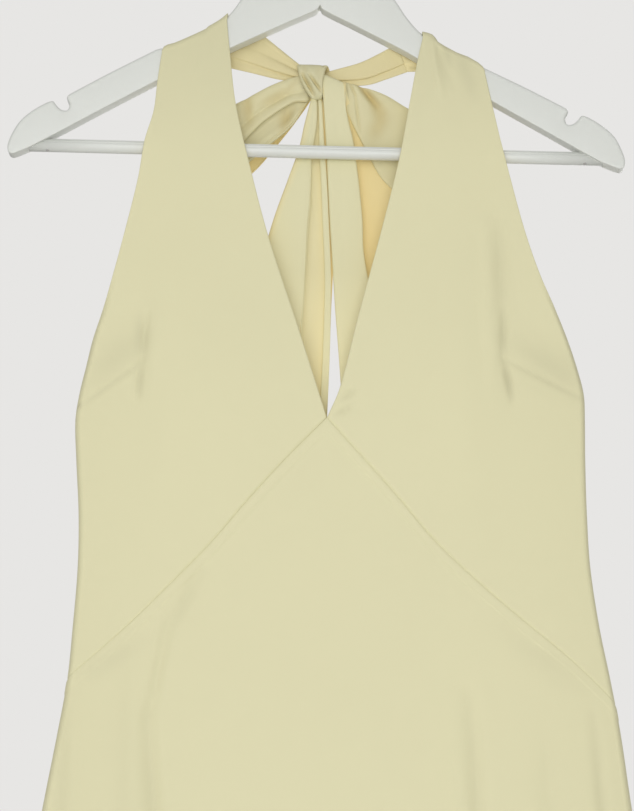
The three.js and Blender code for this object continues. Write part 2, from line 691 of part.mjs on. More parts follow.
function hangerBar() {
  const inFlute = (k) => k % fluteSteps === fluteSteps / 2;
  const fluted = ring(barFlutes * fluteSteps, (k) => barRadius - (inFlute(k) ? fluteDepth : 0));
  const geometry = new THREE.ExtrudeGeometry(fluted, { depth: 2 * barHalf, bevelEnabled: false });
  return geometry.translate(0, 0, -barHalf).rotateY(Math.PI / 2).translate(0, 0, -barDrop);
}

function hangerHook() {
  const centre = new THREE.Vector3(0, 0, wireRadius - hookRadius);
  const bend = evenly(hookBend.steps, hookBend.from, hookBend.to).map((degrees) => {
    const angle = THREE.MathUtils.degToRad(degrees);
    return new THREE.Vector3(hookRadius * Math.cos(angle), 0, hookRadius * Math.sin(angle)).add(centre);
  });
  const points = [...shank.map(({ x, drop }) => new THREE.Vector3(x, 0, -drop)), ...bend];
  const path = new THREE.CatmullRomCurve3(points);
  const wire = ring(wireSides, () => wireRadius);
  return new THREE.ExtrudeGeometry(wire, { steps: wireSteps, extrudePath: path, bevelEnabled: false });
}

function piece(name, geometry, finish) {
  geometry.computeVertexNormals();
  const mesh = new THREE.Mesh(geometry, new THREE.MeshStandardMaterial(finish));
  mesh.name = name;
  return mesh;
}

const hanger = new THREE.Group();
hanger.add(piece('hanger_body', hangerBody(), woodFinish));
hanger.add(piece('hanger_bar', hangerBar(), woodFinish));
hanger.add(piece('hanger_hook', hangerHook(), steelFinish));
hanger.rotation.y = hangerTilt;

const dress = new THREE.Group();
dress.add(piece('front_skirt', frontSkirt(), clothFinish));
dress.add(piece('back_panel', backPanel(), clothFinish));
dress.add(piece('tie_knot', knotShape(0), clothFinish));
for (const side of ['left', 'right']) {
  const facing = side === 'left' ? 1 : -1;
  dress.add(piece(`front_bodice_${side}`, frontBodice(side), clothFinish));
  const band = strip(neckBands[side], bandFolds, facing, walls.band);
  dress.add(piece(`neck_band_${side}`, clearOfKnot(band), clothFinish));
  const loop = strip(loops[side], loopFolds[side], facing, walls.loop);
  dress.add(piece(`bow_loop_${side}`, clearOfKnot(loop), clothFinish));
  const tail = strip(tails[side], tailFolds[side], 1, walls.tail);
  dress.add(piece(`tie_tail_${side}`, clearOfKnot(tail), clothFinish));
}

const part = new THREE.Group();
part.add(hanger, dress);
export default part;
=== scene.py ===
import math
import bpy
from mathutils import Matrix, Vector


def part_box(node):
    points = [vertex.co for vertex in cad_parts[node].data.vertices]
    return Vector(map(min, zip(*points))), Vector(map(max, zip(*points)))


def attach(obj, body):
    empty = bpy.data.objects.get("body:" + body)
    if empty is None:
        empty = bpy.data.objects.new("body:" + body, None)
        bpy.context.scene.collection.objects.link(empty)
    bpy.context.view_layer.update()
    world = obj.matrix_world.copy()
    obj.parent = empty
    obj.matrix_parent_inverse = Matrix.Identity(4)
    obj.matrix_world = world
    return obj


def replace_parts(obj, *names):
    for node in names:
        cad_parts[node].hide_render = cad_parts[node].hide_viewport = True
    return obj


bl_info = {
    "name": "Halter Dress on a Hanger",
    "version": (1, 0, 0),
    "blender": (4, 5, 0),
    "location": "3D View > Sidebar > Dress",
    "description": "Makes a crepe halter dress with a bow at the neck, hung on a white wooden hanger",
    "category": "Add Mesh",
}

import bmesh
import bpy
import numpy as np
from bpy.props import FloatProperty, FloatVectorProperty, IntProperty, PointerProperty
from mathutils import Vector
from mathutils.geometry import delaunay_2d_cdt

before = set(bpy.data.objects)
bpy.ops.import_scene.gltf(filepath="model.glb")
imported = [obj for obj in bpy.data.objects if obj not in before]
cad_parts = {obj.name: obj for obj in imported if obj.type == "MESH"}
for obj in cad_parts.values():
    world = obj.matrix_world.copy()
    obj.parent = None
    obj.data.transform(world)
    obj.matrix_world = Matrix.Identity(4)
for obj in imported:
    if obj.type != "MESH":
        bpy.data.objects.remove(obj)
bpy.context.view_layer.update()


def rows_of(names, *rows):
    """A table: rows of values under the names of their columns."""
    return [dict(zip(names.split(), row)) for row in rows]


# Tables are in millimetres; "drop" is the distance below the inside top of the hook, and Y runs backwards
MM = 0.001
SIDES = ("left", "right")
HEM_DROP = -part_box("front_skirt")[0][2] / MM
HANGER_TILT = math.radians(1.5)
TILT_SIN = math.sin(HANGER_TILT)
TILT_COS = math.cos(HANGER_TILT)
HANGER_HALF_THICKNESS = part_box("hanger_body")[1][1] / MM
ARM_EDGE = 2.5
ARM_GAP = 0.6
SEAM_GAP = 0.12

# Upper line of one arm of the hanger, from the neck out to the notch
ARM_TOP = rows_of(
    "out drop",
    (0.0, 72.8), (12.0, 73.5), (26.0, 79.5), (38.0, 90.0), (47.0, 101.0), (55.0, 112.0), (63.0, 123.0),
    (73.0, 132.5), (97.0, 147.0), (117.0, 157.0), (150.0, 172.8), (178.0, 187.0),
)

# Notch, rounded tip and lower line of the arm, from the end of its upper line back to the middle
ARM_ROUND = rows_of(
    "out drop",
    (150.0, 172.8), (178.0, 187.0), (180.9, 190.2), (178.9, 195.6), (180.2, 199.6), (184.2, 199.6),
    (187.7, 196.8), (191.0, 193.2), (198.2, 196.0), (207.6, 202.4), (214.4, 209.2), (219.6, 218.6),
    (221.9, 225.5), (222.0, 229.4), (221.0, 232.2), (218.6, 233.2), (214.5, 231.9), (203.5, 226.6),
    (150.0, 197.0), (116.0, 178.0), (65.0, 151.0), (23.0, 130.0), (2.2, 119.7), (0.0, 116.4),
)

# How much lower each arm's upper line, and its lower one, lies than in the tables above
ARM_EASE = {
    "left": [
        (28.0, 0.0), (40.0, -2.4), (56.0, -2.6), (65.0, -1.0), (72.0, 0.0), (106.0, 0.0), (111.0, -2.2),
        (114.0, -4.0), (118.0, -4.7), (178.0, 0.0),
    ],
    "right": [
        (58.0, 0.0), (68.0, 1.6), (76.0, 3.0), (104.0, 3.0), (112.0, 2.2), (118.0, 1.9), (178.0, 1.2),
        (205.0, 0.6), (216.0, 0.0),
    ],
}
UNDER_EASE = {
    "left": [(68.0, 0.0), (112.0, -2.0), (150.0, -1.5), (205.0, 0.0)],
    "right": [(62.0, 0.0), (100.0, 2.0), (120.0, 2.0), (160.0, 1.5), (203.0, 1.2), (216.0, 0.0)],
}

# Rounding of the lower edges, samples along an arm's upper line and round its tip, and steps round an edge
UNDER_EDGE = 0.7
ARM_SAMPLES = 160
ARM_SPREAD = 1.2
TIP_SAMPLES = 420
EDGE_STEPS = 8
EDGE_CHANGE = 8
EDGE_SMOOTH = 3

# The bar, its grooves in degrees from the front, and the nails under its ends: each ring's size and place
BAR_DROP = 224.8
BAR_RADIUS = 4.8
BAR_INSET = 0.3
BAR_STATIONS = 8
BAR_ANGLE_STEP = 1.5
GROOVE_ANGLES = (24.0, 52.0, 80.0, 108.0, 136.0)
GROOVE_DEPTH = 0.65
GROOVE_WIDTH = 4.5
NAILS = {"left": -193.7, "right": 193.7}
NAIL_ANGLE = math.radians(-62.0)
NAIL_RINGS = ((1.1, -0.6), (1.1, 0.1), (0.9, 0.2))
NAIL_CORNERS = 24

# The hook: its shank, then a bend round a rail
WIRE_RADIUS = 2.0
WIRE_STEP = 1.2
HOOK_RADIUS = 20.0
SHANK = [(0.0, 100.0), (0.0, 78.0), (0.0, 60.0), (2.0, 49.0), (7.0, 40.5)]
HOOK_BEND = (-42.0, 206.0)
HOOK_SAMPLES = 25

# How far the top of each strap stands off the arm, from its neckline edge (0) to its side edge (1)
STRAP_LIFT = {
    "left": [
        (0.0, 0.9), (0.3, 1.25), (0.34, 0.5), (0.4, 0.6), (0.65, 1.3), (0.85, 1.9), (0.95, 2.8),
        (1.0, 2.6),
    ],
    "right": [
        (0.0, -2.4), (0.09, -0.6), (0.16, 0.2), (0.21, -0.6), (0.26, -2.7), (0.38, -2.9), (0.57, -2.6),
        (0.76, -1.4), (0.92, -1.9), (1.0, -3.1),
    ],
}

# Side edges of the dress seen from the front: armholes to 412, then side seams
OUTLINE = rows_of(
    "drop left right",
    (120.0, -111.2, 107.8), (150.0, -116.6, 113.0), (175.0, -120.4, 118.0), (196.0, -123.0, 122.0),
    (216.0, -128.8, 126.2), (226.0, -130.6, 128.6), (247.0, -133.8, 133.5), (285.0, -142.4, 143.0),
    (317.0, -150.3, 153.2), (341.0, -157.2, 163.7), (363.0, -164.7, 172.8), (383.0, -169.6, 179.4),
    (403.0, -174.2, 184.2), (422.0, -176.7, 184.7), (450.0, -175.6, 184.5), (490.0, -173.4, 185.1),
    (527.0, -173.6, 186.9), (569.0, -176.5, 192.6), (604.0, -179.6, 199.3), (642.0, -186.0, 205.9),
    (696.0, -195.9, 213.0), (900.0, -231.0, 243.0), (1200.0, -279.0, 287.0), (1450.0, -317.0, 324.0),
)

# How far the cloth stands off the middle plane, and the width of its rounding into the side
DEPTHS = rows_of(
    "drop front back round",
    (100.0, 8.8, 10.0, 4.5), (215.0, 8.8, 10.0, 4.5), (330.0, 13.0, 11.0, 4.5),
    (410.0, 16.0, 12.0, 4.8), (500.0, 14.0, 12.0, 4.8), (610.0, 16.0, 14.0, 5.0),
    (700.0, 19.0, 17.0, 6.0), (1000.0, 26.0, 25.0, 11.0), (1450.0, 36.0, 35.0, 15.0),
)

# Share of that depth lost towards the sides
SIDE_DROOP = 0.5

# Neckline edges of the two straps, down to the point of the V
NECKLINE = rows_of(
    "drop left right",
    (110.0, -71.6, 75.4), (132.0, -70.2, 72.6), (150.0, -68.4, 68.8),
    (190.0, -63.9, 61.4), (232.0, -54.6, 53.6), (290.0, -39.8, 39.3),
    (350.0, -20.6, 23.4), (400.0, -5.0, 10.8), (421.5, 1.6, 1.75),
)

# Diagonal seams under the bust: "reach" is measured round the cloth from the middle of the front
SEAMS = {
    "left": rows_of(
        "reach drop",
        (-194.6, 608.0), (-148.0, 570.0), (-113.0, 537.0), (-85.5, 509.5), (-62.7, 483.5), (-33.6, 452.5),
        (-2.2, 421.5),
    ),
    "right": rows_of(
        "reach drop",
        (-2.2, 421.5), (29.0, 457.5), (46.0, 477.8), (69.5, 507.0), (100.0, 537.3), (135.0, 568.0),
        (160.0, 589.5), (197.0, 626.0),
    ),
}
APEX_REACH = SEAMS["right"][0]["reach"]

# Flutes of the skirt: where each starts, where it ends at the hem, and its size there
FLUTE = "top start hem width depth"
FLUTES = {
    "front": rows_of(
        FLUTE,
        (-150.0, 575.0, -262.0, 34.0, 15.0), (-84.0, 690.0, -163.0, 30.0, 12.0),
        (-30.0, 760.0, -72.0, 31.0, 13.0), (32.0, 780.0, 22.0, 30.0, 11.0),
        (84.0, 700.0, 112.0, 32.0, 14.0), (138.0, 620.0, 196.0, 29.0, 13.0),
        (172.0, 590.0, 274.0, 32.0, 15.0),
    ),
    "back": rows_of(
        FLUTE,
        (-140.0, 600.0, -250.0, 35.0, 15.0), (-92.0, 680.0, -152.0, 30.0, 13.0),
        (-26.0, 740.0, -58.0, 32.0, 14.0), (40.0, 720.0, 38.0, 30.0, 12.0),
        (96.0, 660.0, 130.0, 32.0, 14.0), (150.0, 610.0, 246.0, 35.0, 15.0),
    ),
}

# A flute's width where it starts, as a share of its width at the hem, and how late it deepens
FLUTE_TOP_WIDTH = 0.6
FLUTE_POWER = 1.1

# Fullness over the bust
BUST = rows_of(
    "reach drop wide tall depth",
    (-92.0, 385.0, 52.0, 66.0, 4.0), (88.0, 385.0, 52.0, 66.0, 4.0),
)

# Back neckline, and where the armhole edges turn into the side
UNDERARM_DROP = 413.0
SCOOP_DROP = 492.0
SCOOP_POWER = 2.4
FLAT_DROP = 310.0
TURNED_DROP = 408.0
SIDE_SEAM_TOP = (378.0, 418.0)

# Cross seams where each strap meets its neck band behind the hanger, and the pleats of the strap there
CROSS_SEAMS = {
    "left": {"upper": (-65.0, 10.0, -125.0), "lower": (-75.0, 10.5, -157.0)},
    "right": {"upper": (53.0, 10.0, -141.0), "lower": (60.5, 10.5, -161.5)},
}
STRAP_CARRY = 7.0
STRAP_PLEATS = 3
PLEAT_DEPTH = 0.9
SEATED_WALL = 1.2

# First guesses for a strap's two edges in x and for drops on the arm and the side seam, and steps to settle
NECK_GUESS = 70.0
SIDE_GUESS = 115.0
ARM_GUESS = 150.0
END_GUESS = 610.0
SETTLE_STEPS = 14

# Shares of a front panel, and of the strap's way over the arm, in which the strap's top eases into it
STRAP_JOIN = 0.1
LIFT_FADE = 0.09
LIFT_RISE = (0.1, 0.55)

# Grooves of the seams, rolled edges (radius and depth), and the pressed-up edge above the skirt's top seam
SEAM_DEPTH = 0.55
SEAM_WIDTH = 0.8
SEAM_SLANT = 0.72
EDGE_ROLL = (1.6, 0.5)
ARMHOLE_ROLL = (1.8, 0.6)
PRESSED_HEIGHT = 0.42
PRESSED_END = (6.2, 7.8)

# Creases, from one end to the other in x and drop; a negative depth is a trough
CREASE = "x0 d0 x1 d1 width depth"
CREASE_ENDS = 0.35
CREASES = {
    "front": rows_of(
        CREASE,
        (-173.0, 412.0, -128.0, 381.0, 1.7, -1.4), (-160.0, 398.0, -122.0, 368.0, 7.0, 1.0),
        (-126.0, 346.0, -129.0, 380.0, 2.6, -1.8), (-129.5, 381.0, -131.5, 409.0, 2.4, -1.7),
        (-119.0, 344.0, -122.0, 404.0, 5.0, 1.2), (191.0, 411.0, 127.0, 380.0, 1.7, -1.4),
        (172.0, 396.0, 120.0, 366.0, 7.0, 1.0), (125.0, 279.0, 128.0, 346.0, 6.0, -1.6),
        (127.4, 344.0, 126.0, 380.0, 2.8, -1.8), (127.0, 381.0, 132.6, 409.0, 2.6, -2.4),
        (116.0, 280.0, 119.0, 408.0, 6.0, 1.4), (174.0, 344.0, 187.0, 393.0, 4.0, -2.2),
        (83.0, 141.0, 94.0, 178.0, 3.4, -0.7), (77.0, 142.0, 84.0, 184.0, 3.6, 2.0),
        (-86.0, 134.0, -92.0, 190.0, 6.0, 0.8), (13.0, 408.0, 22.0, 401.0, 2.2, -1.4),
        (8.0, 419.0, 20.0, 413.0, 2.2, -1.3), (-86.8, 529.0, -108.5, 572.0, 4.0, -1.6),
        (-108.5, 562.0, -122.0, 634.0, 3.8, -2.4), (-122.5, 630.0, -110.0, 790.0, 4.6, -3.0),
        (-134.0, 580.0, -132.0, 790.0, 8.0, 2.2), (-181.0, 615.0, -187.0, 790.0, 5.0, -1.9),
        (100.0, 612.0, 112.0, 790.0, 4.6, -2.0), (88.0, 620.0, 98.0, 790.0, 8.0, 1.8),
        (186.5, 629.0, 199.0, 790.0, 4.4, -2.6), (152.0, 640.0, 160.0, 790.0, 8.0, -1.4),
        (-104.0, 260.0, -118.0, 560.0, 16.0, 1.6), (92.0, 230.0, 104.0, 560.0, 18.0, 1.6),
    ),
    "back": rows_of(
        CREASE,
        (-130.0, 470.0, -138.0, 640.0, 12.0, -1.2), (118.0, 480.0, 132.0, 660.0, 12.0, -1.2),
        (-46.0, 520.0, -56.0, 700.0, 14.0, -1.0), (52.0, 530.0, 60.0, 690.0, 14.0, -1.0),
        (4.0, 640.0, 2.0, 900.0, 16.0, -1.4),
    ),
}

# Painted shade in the colour beside the front's creases; its depth is its share
FRONT_SHADES = rows_of(
    CREASE,
    (-163.0, 390.0, -132.0, 362.0, 12.0, -0.13), (-130.5, 349.0, -129.5, 378.0, 4.5, -0.22),
    (-130.5, 383.0, -131.5, 406.0, 2.6, -0.26), (-173.0, 412.0, -128.0, 381.0, 1.7, -0.16),
    (-174.0, 412.0, -173.0, 411.5, 1.4, -0.9), (138.0, 369.0, 184.0, 399.0, 14.0, -0.14),
    (174.0, 346.0, 187.0, 393.0, 4.0, -0.26), (127.4, 346.0, 126.0, 380.0, 3.2, -0.26),
    (127.8, 383.0, 132.4, 408.0, 2.6, -0.42), (125.0, 279.0, 128.0, 346.0, 7.0, -0.12),
    (191.0, 411.0, 127.0, 380.0, 1.7, -0.16), (13.0, 408.0, 22.0, 401.0, 2.2, -0.14),
    (8.0, 419.0, 20.0, 413.0, 2.2, -0.14), (-87.0, 529.0, -108.5, 572.0, 5.0, -0.1),
    (-110.0, 562.0, -123.0, 634.0, 4.2, -0.07), (-123.5, 630.0, -111.0, 790.0, 4.6, -0.15),
    (-136.0, 600.0, -136.0, 790.0, 14.0, -0.05), (-181.0, 615.0, -187.0, 790.0, 6.0, -0.09),
    (100.0, 619.0, 112.0, 790.0, 4.2, -0.12), (186.5, 629.0, 199.0, 790.0, 4.4, -0.16),
    (152.0, 648.0, 160.0, 790.0, 8.0, -0.05), (126.0, 572.0, 178.0, 612.0, 9.0, -0.09),
    (-168.0, 604.0, -126.0, 578.0, 7.0, -0.1), (86.0, 143.0, 91.0, 163.0, 2.6, -0.2),
    (96.0, 148.0, 108.0, 186.0, 5.0, -0.14), (80.0, 140.0, 85.0, 144.0, 1.8, -0.6),
)

# The hem's turning, the faint step where it ends, and its stitches: their line's points and reach
HEM_TURNING = 18.5
HEM_STEP = 0.25
HEM_STEP_ENDS = (17.0, 20.0)
STITCH_SIZE = 0.7
STITCH_LINE = 400
STITCH_REACH = 0.97
STITCH_OUT = 0.1
STITCH_SLIM = (0.3, 0.3, 1.0)

# Each panel's cells across and down, its length, and its width, which for a whole panel is half its width
PANELS = {
    "bodice": {"across": 112, "down": 190, "width": 110.0, "length": 380.0},
    "skirt": {"across": 170, "down": 210, "width": 200.0, "length": 900.0},
    "back": {"across": 130, "down": 150, "width": 200.0, "length": 980.0},
}
STRAP_CELLS = {"over": 25, "behind": 16}

# How far in from an edge its finer cells lie, and how much closer cells lie towards a side
FINE_CELLS = (0.25, 0.55, 0.95, 1.5, 2.2, 3.2, 5.0, 7.0, 8.6, 9.4, 10.2, 11.0, 12.6)
CROWDING = 0.3

# How far the middle of a cut edge stands out, as a share of the cloth's thickness
EDGE_BULGE = 0.3

# The ties: rows across each strip from its edge a to its edge b, with a profile of folds between them
STRIP = "ax ay az bx by bz fold"

# A profile's points are spaced as on a strip this wide, with their gaps evened out
PROFILE_WIDTH = 20.0
EVEN_OUT = 0.5

# Each profile runs from a (0) to b (1) with how far it stands back, and doubles back where cloth is folded
NECK_BANDS = {
    "left": {
        "rows": rows_of(
            STRIP,
            (-64.8, 10.0, -124.9, -74.8, 10.5, -157.1, 0.1),
            (-55.8, 10.4, -127.4, -66.3, 11.0, -159.0, 0.2),
            (-44.4, 11.5, -134.6, -52.0, 12.0, -162.0, 0.5),
            (-31.5, 14.0, -144.8, -33.0, 14.5, -165.8, 1.0),
            (-16.5, 17.0, -156.3, -18.0, 18.0, -166.4, 0.9),
            (-9.0, 19.0, -160.5, -9.0, 20.0, -168.0, 0.3),
        ),
        "profile": [
            (0.0, 0.0), (0.06, -0.9), (0.16, -0.2), (0.4, 0.2), (0.52, -1.5), (0.66, -2.2), (0.76, -1.7),
            (0.74, -0.2), (0.82, 0.3), (0.93, -0.3), (1.0, 0.5),
        ],
    },
    "right": {
        "rows": rows_of(
            STRIP,
            (52.8, 10.0, -141.1, 60.3, 10.5, -161.6, 0.3), (40.0, 11.5, -148.2, 45.0, 12.0, -166.6, 0.8),
            (26.0, 14.0, -154.3, 30.5, 15.0, -170.0, 1.0), (8.0, 17.5, -158.6, 9.0, 18.5, -169.0, 0.9),
            (-2.0, 19.5, -161.0, -2.0, 20.5, -168.0, 0.3),
        ),
        "profile": [
            (0.0, 0.3), (0.05, -0.5), (0.3, -0.9), (0.56, -1.4), (0.66, -1.7), (0.7, -1.2), (0.64, 0.1),
            (0.72, 0.5), (0.9, 0.3), (1.0, 0.6),
        ],
    },
}
LOOPS = {
    "left": {
        "rows": rows_of(
            STRIP,
            (-10.0, 16.5, -163.0, -10.0, 17.0, -176.0, 0.0),
            (-18.4, 13.4, -163.6, -12.5, 12.6, -183.2, 0.7),
            (-31.5, 12.4, -168.0, -22.5, 12.0, -184.6, 1.0),
            (-45.3, 12.2, -174.8, -38.7, 12.0, -194.6, 1.0),
            (-61.3, 12.6, -183.2, -51.8, 13.0, -206.0, 1.0),
            (-90.0, 15.0, -198.0, -79.0, 16.0, -236.0, 0.7),
            (-105.5, 19.5, -207.5, -94.0, 22.0, -257.0, 0.2),
            (-109.8, 25.5, -211.0, -98.0, 28.0, -262.0, 0.0),
            (-105.0, 31.5, -209.0, -93.0, 34.0, -261.0, -0.3),
            (-90.0, 33.0, -200.0, -80.0, 34.0, -250.5, -0.8),
            (-60.0, 31.5, -185.0, -52.6, 31.0, -232.5, -1.0),
            (-34.0, 27.5, -173.0, -29.8, 27.5, -206.5, -0.8),
            (-17.0, 24.5, -165.5, -15.0, 25.0, -187.0, -0.3),
            (-9.0, 23.5, -165.0, -8.0, 24.0, -176.0, 0.0),
        ),
        "profile": [
            (0.0, 0.8), (0.04, -0.3), (0.14, -1.2), (0.34, -1.5), (0.52, -0.6), (0.62, 0.6), (0.74, -0.6),
            (0.88, -1.5), (0.97, -1.2), (1.0, -0.2),
        ],
    },
    "right": {
        "rows": rows_of(
            STRIP,
            (0.0, 17.0, -164.5, 0.0, 17.5, -175.0, 0.0), (9.0, 14.4, -167.4, 8.0, 14.6, -182.0, 0.3),
            (20.0, 12.4, -169.8, 15.6, 12.8, -190.5, 0.8), (29.0, 12.0, -172.4, 21.8, 12.4, -203.4, 1.0),
            (45.0, 11.8, -178.8, 31.0, 12.4, -221.5, 1.0), (61.6, 12.0, -189.0, 44.5, 12.8, -244.6, 1.0),
            (91.0, 15.0, -204.0, 74.0, 17.5, -266.0, 0.7), (105.0, 19.5, -213.0, 92.0, 22.0, -276.5, 0.2),
            (109.0, 25.5, -216.0, 97.0, 28.0, -280.0, 0.0),
            (104.0, 31.5, -214.0, 92.0, 34.0, -278.0, -0.3),
            (90.0, 34.5, -205.0, 77.0, 36.5, -270.0, -0.8),
            (60.0, 34.0, -190.0, 49.0, 35.0, -252.0, -1.0),
            (30.0, 30.0, -177.0, 24.0, 31.0, -214.0, -0.8), (10.0, 25.5, -167.5, 9.0, 26.5, -184.0, -0.3),
            (0.0, 23.5, -165.5, 0.0, 24.0, -175.0, 0.0),
        ),
        "profile": [
            (0.0, 0.6), (0.04, -0.4), (0.12, -1.0), (0.3, -1.2), (0.5, -1.0), (0.7, -0.9), (0.86, -1.0),
            (0.95, -0.9), (0.985, -0.5), (1.0, 0.4),
        ],
    },
}

# The second, lower fold of the left loop
LOWER_FOLD = {
    "rows": rows_of(
        STRIP,
        (-10.0, 16.5, -178.0, -10.5, 17.5, -181.0, 0.0), (-16.0, 14.6, -180.0, -14.4, 14.4, -186.5, 0.4),
        (-23.0, 14.6, -180.0, -18.0, 14.4, -193.2, 0.8), (-32.0, 14.6, -184.0, -23.2, 14.4, -200.8, 1.0),
        (-43.0, 14.8, -190.0, -32.5, 14.4, -209.6, 1.0), (-54.0, 15.4, -198.0, -42.2, 14.8, -217.4, 1.0),
        (-68.0, 17.0, -208.0, -57.0, 16.6, -230.0, 0.9), (-84.0, 19.6, -218.0, -74.0, 19.6, -242.0, 0.6),
        (-95.0, 23.5, -226.0, -86.0, 23.8, -249.0, 0.3),
    ),
    "profile": [
        (0.0, 0.0), (0.2, 0.8), (0.42, 1.3), (0.6, 0.4), (0.74, -0.8), (0.86, -1.0), (0.9, -0.4),
        (0.935, -0.9), (0.975, -0.9), (1.0, 0.0),
    ],
}

# Creases in the front of the bow, which also set its painted crease shade
BOW_CREASES = rows_of(
    CREASE,
    (-19.0, 165.0, -26.0, 176.0, 2.0, -0.9), (-25.0, 175.0, -45.0, 186.0, 3.6, -2.0),
    (-57.0, 178.0, -55.0, 199.0, 3.4, -2.4), (-34.0, 170.0, -48.0, 178.0, 4.6, 1.2),
    (25.0, 169.0, 38.0, 186.0, 2.6, -4.6), (36.0, 182.0, 43.0, 197.0, 5.0, -2.6),
    (43.0, 194.0, 35.0, 212.0, 5.4, -2.0), (17.5, 166.0, 22.4, 179.0, 0.9, -1.8),
    (22.2, 178.0, 25.6, 207.0, 0.9, -1.4), (-9.0, 183.5, -24.0, 185.0, 1.2, -1.4),
)
LOWER_CREASES = rows_of(
    CREASE,
    (-25.0, 187.0, -31.0, 204.0, 4.4, -3.0), (-14.0, 183.0, -19.0, 191.0, 2.0, -1.2),
)

# How far along a strip creases reach (past 1 is all along), how they fade out there, and the trough depth
# for full painted shade
LOOP_FRONT = 0.42
WHOLE_STRIP = 2.0
CREASE_FADE = 0.06
FULL_DENT = 4.5

# Shifts in a tail grow with its fold, and apply in full where it is this wide beyond its ridge
FULL_SHIFT_WIDTH = 11.0
SHIFT_GROWTH = 1.2

# Share of a tail's length at which its slanted end starts
SLANT_START = 0.85

# A tail's profile runs through its lines with shifts; "soft" is added to one where the fold isn't crisp
# The profile's fourth column is painted warm bounce light in the tail's colour
FOLD = "line shift back warmth soft"

